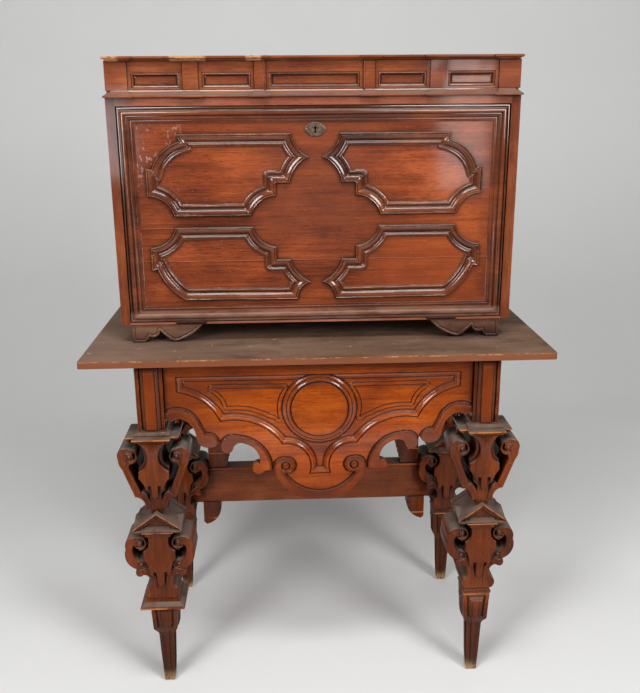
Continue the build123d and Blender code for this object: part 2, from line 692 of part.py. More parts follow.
# ---------------------------------------------------------------- case
STILE_BACK = CASE_FRONT + STILE_DEPTH
BACK_FACE = CASE_BACK - BACK_THICKNESS
TOP_LOW = CORNICE_TOP - TOP_THICKNESS
BOARD_TOP = LEDGE_TOP
BOARD_LOW = BOARD_TOP - DIVIDER_THICKNESS
DRAWER_DEPTH = BACK_FACE - STILE_BACK - DRAWER_BACK_SPACE
DRAWER_HALF = INNER_PILASTER[0] - 1.0
BOX_HALF = DRAWER_HALF - DRAWER_WALL
GUIDE_HEIGHT = 20.0
POCKET = KNUCKLE_RADIUS + 0.8
FRIEZE_FACE = CASE_FRONT + FRIEZE_INSET
BOLT_BACK = FALL_BACK + LOCK_DEPTH / 2 + BOLT_THICKNESS / 2
LOCK_TOP = FALL_HIGH - 2.5
MORTISE_DEPTH = BOLT_THROW + 2.0


def side_board():
    return block(-CASE_HALF, -CASE_HALF + SIDE_THICKNESS, STILE_BACK, BACK_FACE, CASE_BOTTOM, TOP_LOW)


def hinge_pockets():
    """Room for the knuckles in the lip and in the moulding above it."""
    rooms = []
    for side in (-1, 1):
        middle = side * HINGE_OFFSET
        half = HINGE_LENGTH / 2 + FIT
        barrel = Pos(middle, PIN_Y, PIN_Z) * Rot(0, 90, 0) * Cylinder(POCKET, 2 * half)
        leaf = block(middle - half, middle + half, PIN_Y, PIN_Y + LEAF_DEPTH + FIT + 3,
                     PIN_Z - LEAF_THICKNESS, PIN_Z + 1.5 + LEAF_THICKNESS)
        rooms.append(barrel)
        rooms.append(leaf)
    return rooms


def bottom_board():
    board = block(-INNER_HALF, INNER_HALF, STILE_BACK, BACK_FACE, CASE_BOTTOM, FLOOR)
    lip = block(-OPENING_HALF, OPENING_HALF, CASE_FRONT, STILE_BACK, CASE_BOTTOM, LIP_TOP)
    return cut_all(board + lip, hinge_pockets())


def cut_all(body, tools):
    for tool in tools:
        body = body - tool
    return body


def left_stile():
    return block(-CASE_HALF, -OPENING_HALF, CASE_FRONT, STILE_BACK, CASE_BOTTOM, RAIL_TOP)


def top_rail():
    rail = block(-OPENING_HALF, OPENING_HALF, CASE_FRONT, CASE_FRONT + RAIL_DEPTH, OPENING_TOP, RAIL_TOP)
    half = BOLT_WIDTH / 2 + FIT
    mortise = block(-half, half, BOLT_BACK - BOLT_THICKNESS - FIT, BOLT_BACK + FIT,
                    OPENING_TOP, OPENING_TOP + MORTISE_DEPTH)
    return rail - mortise


def pilasters():
    spans = (END_PILASTER, SECOND_PILASTER, INNER_PILASTER)
    return [(side * a, side * b) for a, b in spans for side in (-1, 1)]


def side_profile(points, x0, x1):
    """Prism along X through (y, z) points."""
    wire = Wire.make_polygon([(x0, y, z) for y, z in points])
    return extrude(make_face(wire), amount=x1 - x0, dir=(1, 0, 0))


def ledge_profile(projection):
    front = CASE_FRONT - projection
    return [(STILE_BACK, RAIL_TOP), (front + 3, RAIL_TOP), (front, RAIL_TOP + 3), (front, RAIL_TOP + 9),
            (front + 4, LEDGE_TOP - 2), (FRIEZE_FACE, LEDGE_TOP), (STILE_BACK, LEDGE_TOP)]


def ledge_moulding():
    body = side_profile(ledge_profile(LEDGE_PROJECTION), -CASE_HALF, CASE_HALF)
    for a, b in pilasters():
        body = body + side_profile(ledge_profile(LEDGE_PROJECTION + BREAK_PROJECTION), min(a, b), max(a, b))
    return body


def frieze_board():
    """Floor of the frieze space with the guides of its drawer."""
    board = block(-INNER_HALF, INNER_HALF, STILE_BACK, BACK_FACE, BOARD_LOW, BOARD_TOP)
    for side in (-1, 1):
        near = side * (BOX_HALF + DRAWER_GAP)
        far = side * (BOX_HALF + DRAWER_GAP + DRAWER_WALL)
        guide = block(min(near, far), max(near, far), STILE_BACK, STILE_BACK + DRAWER_DEPTH, BOARD_TOP,
                      BOARD_TOP + GUIDE_HEIGHT)
        board = board + guide
    return board


def coffer(x0, x1):
    """Sunk panel with sloping sides; its upper slope is the broadest."""
    z0 = LEDGE_TOP + 2
    z1 = FRIEZE_TOP - 3
    outer = (x0 + 1, x1 - 1, z0, z1, FRIEZE_FACE)
    inner = (x0 + 9, x1 - 9, z0 + 12, z1 - 21, FRIEZE_FACE + PANEL_RECESS)
    return frustum(outer, inner)


def frieze_section():
    """Left-hand length of the frieze: three pilasters and two coffers."""
    inner = INNER_PILASTER[0] - FIT
    body = block(-CASE_HALF, -inner, FRIEZE_FACE, STILE_BACK, LEDGE_TOP, FRIEZE_TOP)
    for a, b in (END_PILASTER, SECOND_PILASTER, INNER_PILASTER):
        body = body + block(-b, -max(a, inner), FRIEZE_FACE - PILASTER_RELIEF, FRIEZE_FACE,
                            LEDGE_TOP, FRIEZE_TOP)
    body = body - coffer(-END_PILASTER[0], -SECOND_PILASTER[1])
    return body - coffer(-SECOND_PILASTER[0], -INNER_PILASTER[1])


def cornice_profile(projection):
    front = CASE_FRONT - projection
    return [(STILE_BACK, FRIEZE_TOP), (front + 4, FRIEZE_TOP), (front, FRIEZE_TOP + 4),
            (front, CORNICE_TOP),
            (STILE_BACK, CORNICE_TOP)]


PLAIN_CORNICE = CORNICE_PROJECTION - BREAK_PROJECTION


def left_cornice():
    inner = INNER_PILASTER[0] - FIT
    outer = CASE_HALF + CORNICE_SIDE_OVERHANG
    body = side_profile(cornice_profile(PLAIN_CORNICE), -outer, -inner)
    for a, b in (END_PILASTER, SECOND_PILASTER, INNER_PILASTER):
        body = body + side_profile(cornice_profile(CORNICE_PROJECTION), -b - 2, -max(a - 2, inner))
    return body


def frieze_drawer_front():
    back = STILE_BACK - FIT
    body = block(-DRAWER_HALF, DRAWER_HALF, FRIEZE_FACE, back, LEDGE_TOP + FIT, FRIEZE_TOP)
    cornice = [(min(y, back), z) for y, z in cornice_profile(PLAIN_CORNICE)]
    body = body + side_profile(cornice, -DRAWER_HALF, DRAWER_HALF)
    return body - coffer(-DRAWER_HALF + 6, DRAWER_HALF - 6)


def open_box(x0, x1, y0, y1, z0, z1, wall):
    """Box without a lid."""
    outside = block(x0, x1, y0, y1, z0, z1)
    return outside - block(x0 + wall, x1 - wall, y0 + wall, y1 - wall, z0 + wall, z1 + 1)


def frieze_drawer_box():
    front = STILE_BACK - FIT
    back = front + DRAWER_DEPTH
    return open_box(-BOX_HALF, BOX_HALF, front, back, BOARD_TOP + FIT, TOP_LOW - 4, DRAWER_WALL)


# ---------------------------------------------------------------- fall front
ESCUTCHEON_LEVEL = FALL_HIGH + 1.5 - ESCUTCHEON_DROP


def keyhole():
    hole = disc(0, ESCUTCHEON_LEVEL + 3, 3)
    return hole + outline([(-1.8, ESCUTCHEON_LEVEL - 8), (1.8, ESCUTCHEON_LEVEL - 8),
                             (1.2, ESCUTCHEON_LEVEL + 3), (-1.2, ESCUTCHEON_LEVEL + 3)])


def fall_panel():
    panel = block(-FALL_HALF, FALL_HALF, FIELD_Y, FALL_BACK, FALL_LOW, FALL_HIGH)
    panel = panel - slab(keyhole(), FIELD_Y - 1, FALL_BACK + 1)
    return cut_all(panel, hinge_pockets())


def rectangle_ring(outer_inset, inner_inset):
    outer = outline([(-FALL_HALF + outer_inset, FALL_LOW + outer_inset),
                       (FALL_HALF - outer_inset, FALL_LOW + outer_inset),
                       (FALL_HALF - outer_inset, FALL_HIGH - outer_inset),
                       (-FALL_HALF + outer_inset, FALL_HIGH - outer_inset)])
    inner = outline([(-FALL_HALF + inner_inset, FALL_LOW + inner_inset),
                       (FALL_HALF - inner_inset, FALL_LOW + inner_inset),
                       (FALL_HALF - inner_inset, FALL_HIGH - inner_inset),
                       (-FALL_HALF + inner_inset, FALL_HIGH - inner_inset)])
    return outer - inner


def fall_frame_moulding():
    """Mitred frame: outer fillet, raised bead, hollow and a thin inner fillet."""
    steps = ((0, FRAME_WIDTH, 3), (2, FRAME_WIDTH - 3, 5), (5, FRAME_WIDTH - 12, 8),
             (7, FRAME_WIDTH - 18, 11), (9, FRAME_WIDTH - 20, FRAME_RELIEF))
    body = Part()
    for outer_inset, inner_inset, height in steps:
        body = body + slab(rectangle_ring(outer_inset, inner_inset), FIELD_Y - height, FIELD_Y)
    return cut_all(body, hinge_pockets())


def on_fall(x, z):
    """Point of the fall front's ornament, drawn for a field 820 wide with its foot at 0."""
    return x * FIELD_HALF / 410, FALL_LOW + z * (FALL_HIGH - FALL_LOW) / 493


def upper_shape():
    runs = [line(on_fall(55.5, 433.5), on_fall(313, 433.5)),
            line(on_fall(313, 433.5), on_fall(308, 417.5)),
            arc(on_fall(308, 417.5), on_fall(350, 392.5), on_fall(373, 355.5)),
            line(on_fall(373, 355.5), on_fall(386, 358.5)),
            line(on_fall(386, 358.5), on_fall(386, 294.5)),
            arc(on_fall(386, 294.5), on_fall(342, 276.5), on_fall(327, 248.5)),
            line(on_fall(327, 248.5), on_fall(150, 248.5)),
            arc(on_fall(150, 248.5), on_fall(133, 276.5), on_fall(92, 293.5)),
            line(on_fall(92, 293.5), on_fall(92, 322.5)),
            line(on_fall(92, 322.5), on_fall(59, 322.5)),
            arc(on_fall(59, 322.5), on_fall(44, 358.5), on_fall(14, 380.5)),
            arc(on_fall(14, 380.5), on_fall(40, 399.5), on_fall(55.5, 433.5))]
    return [point for run in runs for point in run]


def lower_shape():
    runs = [line(on_fall(146, 223.5), on_fall(326, 223.5)),
            arc(on_fall(326, 223.5), on_fall(343, 194.5), on_fall(385, 177.5)),
            line(on_fall(385, 177.5), on_fall(386, 122.5)),
            line(on_fall(386, 122.5), on_fall(372, 125.5)),
            arc(on_fall(372, 125.5), on_fall(348, 84.5), on_fall(310, 51.5)),
            line(on_fall(310, 51.5), on_fall(44, 49.5)),
            arc(on_fall(44, 49.5), on_fall(37, 75.5), on_fall(12, 90.5)),
            arc(on_fall(12, 90.5), on_fall(42, 112.5), on_fall(60, 145.5)),
            line(on_fall(60, 145.5), on_fall(93, 145.5)),
            line(on_fall(93, 145.5), on_fall(93, 176.5)),
            arc(on_fall(93, 176.5), on_fall(131, 193.5), on_fall(146, 223.5))]
    return [point for run in runs for point in run]


def set_in(points, width):
    """Face inside closed XZ points, set in by a width from every edge."""
    face = Sketch() + make_face(Wire.make_polygon(points))
    if width > 0:
        face = offset(face, amount=-width, kind=Kind.INTERSECTION)
    return Rot(90, 0, 0) * face


def shaped_moulding(points):
    """Raised band that follows the closed outline, highest along its middle."""
    steps = ((0, BAND_RELIEF / 2), (BAND_STEP, BAND_RELIEF))
    body = Part()
    for inset, height in steps:
        ring = set_in(points, inset) - set_in(points, BAND_WIDTH - inset)
        body = body + slab(ring, FIELD_Y - height, FIELD_Y)
    return body


def escutcheon():
    half = ESCUTCHEON_WIDTH / 2
    rise = ESCUTCHEON_HEIGHT / 2
    plate = outline(arc((-half, ESCUTCHEON_LEVEL), (0, ESCUTCHEON_LEVEL + rise), (half, ESCUTCHEON_LEVEL)),
                    arc((half, ESCUTCHEON_LEVEL), (0, ESCUTCHEON_LEVEL - rise), (-half, ESCUTCHEON_LEVEL)))
    return slab(plate - keyhole(), FIELD_Y - ESCUTCHEON_THICKNESS, FIELD_Y)


def lock_case():
    low = LOCK_TOP - LOCK_HEIGHT
    body = block(-LOCK_WIDTH / 2, LOCK_WIDTH / 2, FALL_BACK, FALL_BACK + LOCK_DEPTH, low, LOCK_TOP)
    half = BOLT_WIDTH / 2 + FIT
    channel = block(-half, half, BOLT_BACK - BOLT_THICKNESS - FIT, BOLT_BACK + FIT,
                    LOCK_TOP - LOCK_HEIGHT / 2 - 1, LOCK_TOP + 1)
    return body - channel


def lock_bolt():
    return block(-BOLT_WIDTH / 2, BOLT_WIDTH / 2, BOLT_BACK - BOLT_THICKNESS, BOLT_BACK,
                 LOCK_TOP - LOCK_HEIGHT / 2, LOCK_TOP)


def barrel(x0, x1, radius):
    return Pos((x0 + x1) / 2, PIN_Y, PIN_Z) * Rot(0, 90, 0) * Cylinder(radius, x1 - x0)


def knuckle(x0, x1):
    """Many-sided knuckle round the pin."""
    side = extrude(RegularPolygon(KNUCKLE_RADIUS, KNUCKLE_SIDES), amount=x1 - x0)
    return Pos(x0, PIN_Y, PIN_Z) * Rot(0, 90, 0) * side


def hinge_leaf(middle, spans, low, high):
    """Leaf with its knuckles over the given spans of a third of the length each."""
    third = HINGE_LENGTH / 3
    start = middle - HINGE_LENGTH / 2
    reach = PIN_Y + KNUCKLE_RADIUS + FIT + 1
    body = block(start, start + HINGE_LENGTH, reach, PIN_Y + LEAF_DEPTH + 3, low, high)
    for i in spans:
        x0 = start + third * i + KNUCKLE_GAP / 2
        x1 = start + third * (i + 1) - KNUCKLE_GAP / 2
        body = body + knuckle(x0, x1) + block(x0, x1, PIN_Y, reach, low, high)
    return body


def fixed_leaf(middle):
    """Two outer knuckles with the pin that is riveted between them."""
    pin = barrel(middle - HINGE_LENGTH / 3, middle + HINGE_LENGTH / 3, PIN_RADIUS)
    return hinge_leaf(middle, (0, 2), PIN_Z - LEAF_THICKNESS, PIN_Z) + pin


def moving_leaf(middle):
    leaf = hinge_leaf(middle, (1,), FALL_LOW, FALL_LOW + LEAF_THICKNESS)
    return leaf - barrel(middle - HINGE_LENGTH / 4, middle + HINGE_LENGTH / 4, PIN_RADIUS + PIN_CLEARANCE)


# ---------------------------------------------------------------- interior
BANK_FRONT = CASE_FRONT + BANK_SETBACK
BANK_BACK = BACK_FACE
BANK_FLOOR = FLOOR + BANK_BASE
BANK_TOP = BOARD_LOW - 1.0
NICHE_HALF = NICHE_WIDTH / 2
COLUMN_IN = NICHE_HALF + BANK_BOARD
COLUMN_OUT = INNER_HALF - BANK_BOARD
ROW_HEIGHT = (BANK_TOP - BANK_BOARD - BANK_FLOOR - (ROWS - 1) * BANK_BOARD) / ROWS


def row_level(row):
    return BANK_FLOOR + row * (ROW_HEIGHT + BANK_BOARD)


def drawer_bank():
    """Open carcass with a middle niche and a column of drawer spaces on each side."""
    gap = 0.5
    bank = block(-INNER_HALF + gap, INNER_HALF - gap, BANK_FRONT, BANK_BACK, FLOOR, BANK_TOP)
    back = BANK_BACK - BANK_BOARD
    bank = bank - block(-NICHE_HALF, NICHE_HALF, BANK_FRONT - 1, back, BANK_FLOOR, BANK_TOP - BANK_BOARD)
    for side in (-1, 1):
        for row in range(ROWS):
            low = row_level(row)
            x0, x1 = sorted((side * COLUMN_IN, side * COLUMN_OUT))
            bank = bank - block(x0, x1, BANK_FRONT - 1, back, low, low + ROW_HEIGHT)
    return bank


def left_drawers():
    drawers = []
    for row in range(ROWS):
        low = row_level(row) + DRAWER_GAP
        high = row_level(row) + ROW_HEIGHT - DRAWER_GAP
        x0 = -COLUMN_OUT + DRAWER_GAP
        x1 = -COLUMN_IN - DRAWER_GAP
        box_front = BANK_FRONT + INNER_DRAWER_FRONT
        front = block(x0, x1, BANK_FRONT, box_front, low, high)
        box = open_box(x0, x1, box_front - INNER_DRAWER_WALL, BANK_BACK - BANK_BOARD - 4,
                       row_level(row), high - 6,
                       INNER_DRAWER_WALL)
        x, z = (x0 + x1) / 2, (low + high) / 2
        neck, head = KNOB_HALF / 2, KNOB_HALF
        knob = frustum((x - neck, x + neck, z - neck, z + neck, BANK_FRONT),
                       (x - head, x + head, z - head, z + head, BANK_FRONT - KNOB_LENGTH))
        drawers.append(front + box + knob)
    return drawers


def case_foot():
    """Left-hand front foot: square pad, notch, curl and a rising S curve."""
    out = CASE_HALF - CASE_FOOT_INSET
    top = CASE_BOTTOM
    low = TABLE_HEIGHT
    profile = outline(line((out, top), (out, low)),
                      line((out, low), (out - 31, low)),
                      line((out - 31, low), (out - 40, low + 14)),
                      arc((out - 40, low + 14), (out - 57, low + 14), (out - 66, low + 28)),
                      arc((out - 66, low + 28), (out - 82, low + 12), (out - 100, low + 1)),
                      arc((out - 100, low + 1), (out - 134, low + 14), (out - CASE_FOOT_LENGTH, top)),
                      line((out - CASE_FOOT_LENGTH, top), (out, top)))
    y0 = CASE_FRONT + 4
    return mirrored(slab(profile, y0, y0 + CASE_FOOT_THICKNESS))


def back_foot():
    x0 = -CASE_HALF + CASE_FOOT_INSET
    return block(x0, x0 + 60, CASE_BACK - 64, CASE_BACK - 4, TABLE_HEIGHT, CASE_BOTTOM)


def build_case():
    left = side_board()
    save("case_left_side", left)
    save("case_right_side", mirrored(left))
    save("case_top_board", block(-CASE_HALF, CASE_HALF, STILE_BACK, CASE_BACK, TOP_LOW, CORNICE_TOP))
    save("case_bottom_board", bottom_board())
    save("case_back_board", block(-CASE_HALF, CASE_HALF, BACK_FACE, CASE_BACK, CASE_BOTTOM, TOP_LOW))
    save("left_stile", left_stile())
    save("right_stile", mirrored(left_stile()))
    save("top_rail", top_rail())
    save("ledge_moulding", ledge_moulding())
    save("frieze_board", frieze_board())
    section = frieze_section()
    save("frieze_left_section", section)
    save("frieze_right_section", mirrored(section))
    cornice = left_cornice()
    save("cornice", cornice, mirrored(cornice))
    save("frieze_drawer_front", frieze_drawer_front())
    save("frieze_drawer_box", frieze_drawer_box())
    foot_piece = case_foot()
    save("front_left_case_foot", foot_piece)
    save("front_right_case_foot", mirrored(foot_piece))
    save("back_case_feet", back_foot(), mirrored(back_foot()))


def build_fall():
    save("fall_panel", fall_panel())
    save("fall_frame_moulding", fall_frame_moulding())
    for level, shape in (("upper", upper_shape()), ("lower", lower_shape())):
        moulding = shaped_moulding(shape)
        save(f"{level}_right_shaped_moulding", moulding)
        save(f"{level}_left_shaped_moulding", mirrored(moulding))
    save("escutcheon", escutcheon())
    save("lock_case", lock_case())
    save("lock_bolt", lock_bolt())
    save("hinge_fixed_leaves", fixed_leaf(-HINGE_OFFSET), fixed_leaf(HINGE_OFFSET))
    save("hinge_moving_leaves", moving_leaf(-HINGE_OFFSET), moving_leaf(HINGE_OFFSET))


def build_interior():
    save("drawer_bank", drawer_bank())
    drawers = left_drawers()
    save("left_drawers", *drawers)
    save("right_drawers", *[mirrored(drawer) for drawer in drawers])


build_stand()
build_case()
build_fall()
build_interior()
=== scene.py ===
import json
import math

import bpy
import numpy as np
from mathutils import Matrix, Vector, geometry

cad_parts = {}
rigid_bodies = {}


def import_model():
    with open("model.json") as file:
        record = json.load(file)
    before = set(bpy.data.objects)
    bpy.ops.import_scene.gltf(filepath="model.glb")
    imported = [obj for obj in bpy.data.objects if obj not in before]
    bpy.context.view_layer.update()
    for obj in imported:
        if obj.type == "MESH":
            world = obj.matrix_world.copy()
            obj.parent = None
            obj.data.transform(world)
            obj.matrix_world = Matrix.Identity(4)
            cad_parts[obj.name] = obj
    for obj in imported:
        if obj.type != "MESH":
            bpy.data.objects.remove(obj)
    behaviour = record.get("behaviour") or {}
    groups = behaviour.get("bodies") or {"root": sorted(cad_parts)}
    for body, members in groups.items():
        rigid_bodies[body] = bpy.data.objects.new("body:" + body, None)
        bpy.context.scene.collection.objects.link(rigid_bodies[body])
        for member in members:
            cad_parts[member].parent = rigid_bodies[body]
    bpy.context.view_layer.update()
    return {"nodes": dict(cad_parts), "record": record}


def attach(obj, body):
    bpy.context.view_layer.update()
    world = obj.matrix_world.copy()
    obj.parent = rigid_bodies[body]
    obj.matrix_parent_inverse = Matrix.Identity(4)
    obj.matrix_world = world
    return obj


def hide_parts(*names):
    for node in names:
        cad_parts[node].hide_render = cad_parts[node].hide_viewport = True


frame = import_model()
MM = 0.001                                      # one millimetre in the scene's metres
SAME_PLACE = 0.01                               # points closer than this are one, in millimetres
TINY = 1e-9                                     # keeps a division from being by nothing
AT_ONCE = 4000                                  # spots measured in one go
IMAGE_HEIGHT = 693
OBJECT_SPACE, NORMAL = 3, 1                     # outputs of the Texture Coordinate node

# ---------------------------------------------------------------- sizes of the desk, in millimetres
LEG_X, LEG_Y = 391.5, 215.0                     # middle of each leg, from the desk's middle
POST_HALF = 31.0
ABACUS_TOP, ABACUS_LOW = 690.0, 680.0
EAVES, APEX, GABLE_HALF = 457.0, 500.0, 58.0
LOWER_TOP, LOWER_END = 440.0, 262.0             # lower scroll block
FOOT_TOP, FOOT_LOW, FOOT_HALF = 236.0, 170.0, 30.0      # the foot's panelled block, and half its width at its foot
RAKE_SLOPE = 0.7414                             # rise of a gable's rake for each millimetre inwards
APRON_FACE = -234.0
TABLE_UNDER, TABLE_TOP = 864.0, 880.0
CASE_UNDER = 925.0
FIELD_Y = -124.0                                # face of the fall's panel
FALL_HALF, FALL_LOW, FALL_HIGH = 442.5, 931.5, 1424.5
KEYHOLE = 1373.0
LEDGE_TOP, FRIEZE_TOP, CORNICE_TOP = 1459.0, 1522.0, 1531.0
FRIEZE_FACE, FRIEZE_BACK = -124.0, -104.0
PILASTERS = ((414.0, 450.0), (258.5, 292.0), (112.4, 134.0))
DRAWER_HALF, SECTION_END = 112.0, 112.4         # the gap between them lets the drawer slide
ROOT = "stand_and_case"


# ---------------------------------------------------------------- paint: one class for shader maths
class Tone:
    """A value that changes over a surface; arithmetic on it adds Math nodes."""

    def __init__(self, paint, socket):
        self.paint = paint
        self.socket = socket

    def math(self, operation, *others):
        return self.paint.node("Math", {"operation": operation}, [self, *others])

    def __add__(self, other):
        return self.math("ADD", other)

    def __radd__(self, other):
        return self.math("ADD", other)

    def __sub__(self, other):
        return self.math("SUBTRACT", other)

    def __rsub__(self, other):
        return self.paint.node("Math", {"operation": "SUBTRACT"}, [other, self])

    def __mul__(self, other):
        return self.math("MULTIPLY", other)

    def least(self, other):
        return self.math("MINIMUM", other)

    def most(self, other):
        return self.math("MAXIMUM", other)

    def size(self):
        return self.math("ABSOLUTE")

    def band(self, low, high, soft):
        """1 between low and high."""
        return self.ramp(low - soft, low + soft) * self.fade(high - soft, high + soft)

    def bands(self, pairs, soft):
        """1 between low and high of any pair."""
        found = [self.band(low, high, soft) for low, high in pairs]
        return sum(found[1:], found[0])

    def ramp(self, low, high):
        """0 below low, 1 above high, smooth between."""
        return self.paint.node("MapRange", {"interpolation_type": "SMOOTHSTEP"},
                               {"Value": self, "From Min": low, "From Max": high})

    def fade(self, low, high):
        """1 below low, 0 above high, smooth between."""
        return 1.0 - self.ramp(low, high)


class Paint:
    """One material and its nodes."""

    def __init__(self, name):
        self.material = bpy.data.materials.new(name)
        self.material.use_nodes = True
        self.tree = self.material.node_tree
        self.tree.nodes.clear()

    def node(self, kind, settings=None, inputs=None, output=0):
        node = self.tree.nodes.new("ShaderNode" + kind)
        for key, value in (settings or {}).items():
            setattr(node, key, value)
        pairs = enumerate(inputs) if isinstance(inputs, (list, tuple)) else (inputs or {}).items()
        for key, value in pairs:
            if isinstance(value, Tone):
                self.tree.links.new(value.socket, node.inputs[key])
            elif value is not None:
                node.inputs[key].default_value = value
        return Tone(self, node.outputs[output]) if len(node.outputs) > output else None

    def mix(self, a, b, factor):
        a, b = [(*c, 1.0) if isinstance(c, tuple) and len(c) == 3 else c for c in (a, b)]
        return self.node("Mix", {"data_type": "RGBA"}, {0: factor, 6: a, 7: b}, 2)

    def noise(self, scale, detail=4.0, rough=0.55, shift=(0, 0, 0), twist=0.0):
        """Noise over the object's own space; scale is one number or three."""
        scale = scale if isinstance(scale, tuple) else (scale, scale, scale)
        here = self.node("TexCoord", output=OBJECT_SPACE)
        place = self.node("Mapping", {}, {"Vector": here, "Scale": scale, "Location": shift})
        return self.node("TexNoise", {}, {"Vector": place, "Scale": 1.0, "Detail": detail,
                                          "Roughness": rough, "Distortion": twist})

    def finish(self, colour, roughness, normal=None, **uniform):
        inputs = {"Base Color": colour, "Roughness": roughness, "Normal": normal}
        inputs.update({key.replace("_", " "): value for key, value in uniform.items()})
        shader = self.node("BsdfPrincipled", {}, inputs)
        self.node("OutputMaterial", {}, {"Surface": shader})
        return self.material


def along(axis, fine, coarse):
    """Scale triple that stretches a pattern along one axis."""
    scale = [fine, fine, fine]
    scale["xyz".index(axis)] = coarse
    return tuple(scale)


# ---------------------------------------------------------------- woods
BARE_WOOD, PALE_WOOD = (0.52, 0.235, 0.085), (0.46, 0.30, 0.13)
DUST, FLECK = (0.150, 0.123, 0.100), (0.50, 0.38, 0.30)
COAT_ROUGHNESS, BASE_SPECULAR = 0.09, 0.04
CORNER_REACH, RECESS_REACH, ROUNDED_EDGE = 0.010, 0.045, 0.0008
FULL_GLOSS = (0.58, 0.68)                       # heights between which the coat grows to its full strength
TABLE_EDGE, TABLE_CHIP, TABLE_STAIN = (0.215, 0.066, 0.026), (0.52, 0.27, 0.13), (0.060, 0.031, 0.020)
TABLE_SHEEN, TABLE_DENT = (0.230, 0.150, 0.112), (0.55, 0.42, 0.30)
CORNICE_BARE, CORNICE_SPOTS = (0.56, 0.28, 0.12), ((-0.318, -0.240), (-0.152, -0.118), (-0.480, -0.430))
# The first is the colour of the painted sheen high on the left stile
STILE_SHEEN, FRAME_DUST = (0.420, 0.175, 0.095), (0.300, 0.165, 0.115)
LEG_EDGE, LEG_RIB, FOOT_DARK = (0.50, 0.185, 0.060), (0.270, 0.046, 0.006), (0.024, 0.0055, 0.0016)
LEG_EDGES = ((0.6862, 0.6892), (0.4466, 0.4485), (0.2376, 0.2415))     # heights of the rubbed edges
APRON_CLOUD, STRAP_BROWN = (0.120, 0.022, 0.004), (0.085, 0.015, 0.003)
CRACK_DARK, CRACK_LIP = (0.018, 0.007, 0.005), (0.42, 0.22, 0.13)
CRACKS = ((1.0737, -0.42, 0.42), (1.1500, -0.42, -0.12))        # height, left end and right end
FALL_MIDDLE, FALL_RIM = (0.145, 0.044, 0.024), (0.085, 0.020, 0.009)
FALL_LIT, FALL_BLOOM = (0.400, 0.082, 0.018), (0.55, 0.42, 0.36)


def shade(colour, share):
    """The colour made darker, down to a share of it."""
    return tuple(c * share for c in colour)


def spot(p, output=OBJECT_SPACE):
    """x, y and z of a point in its object's space, or of its normal."""
    place = p.node("TexCoord", output=output)
    return [p.node("SeparateXYZ", {}, [place], i) for i in range(3)]


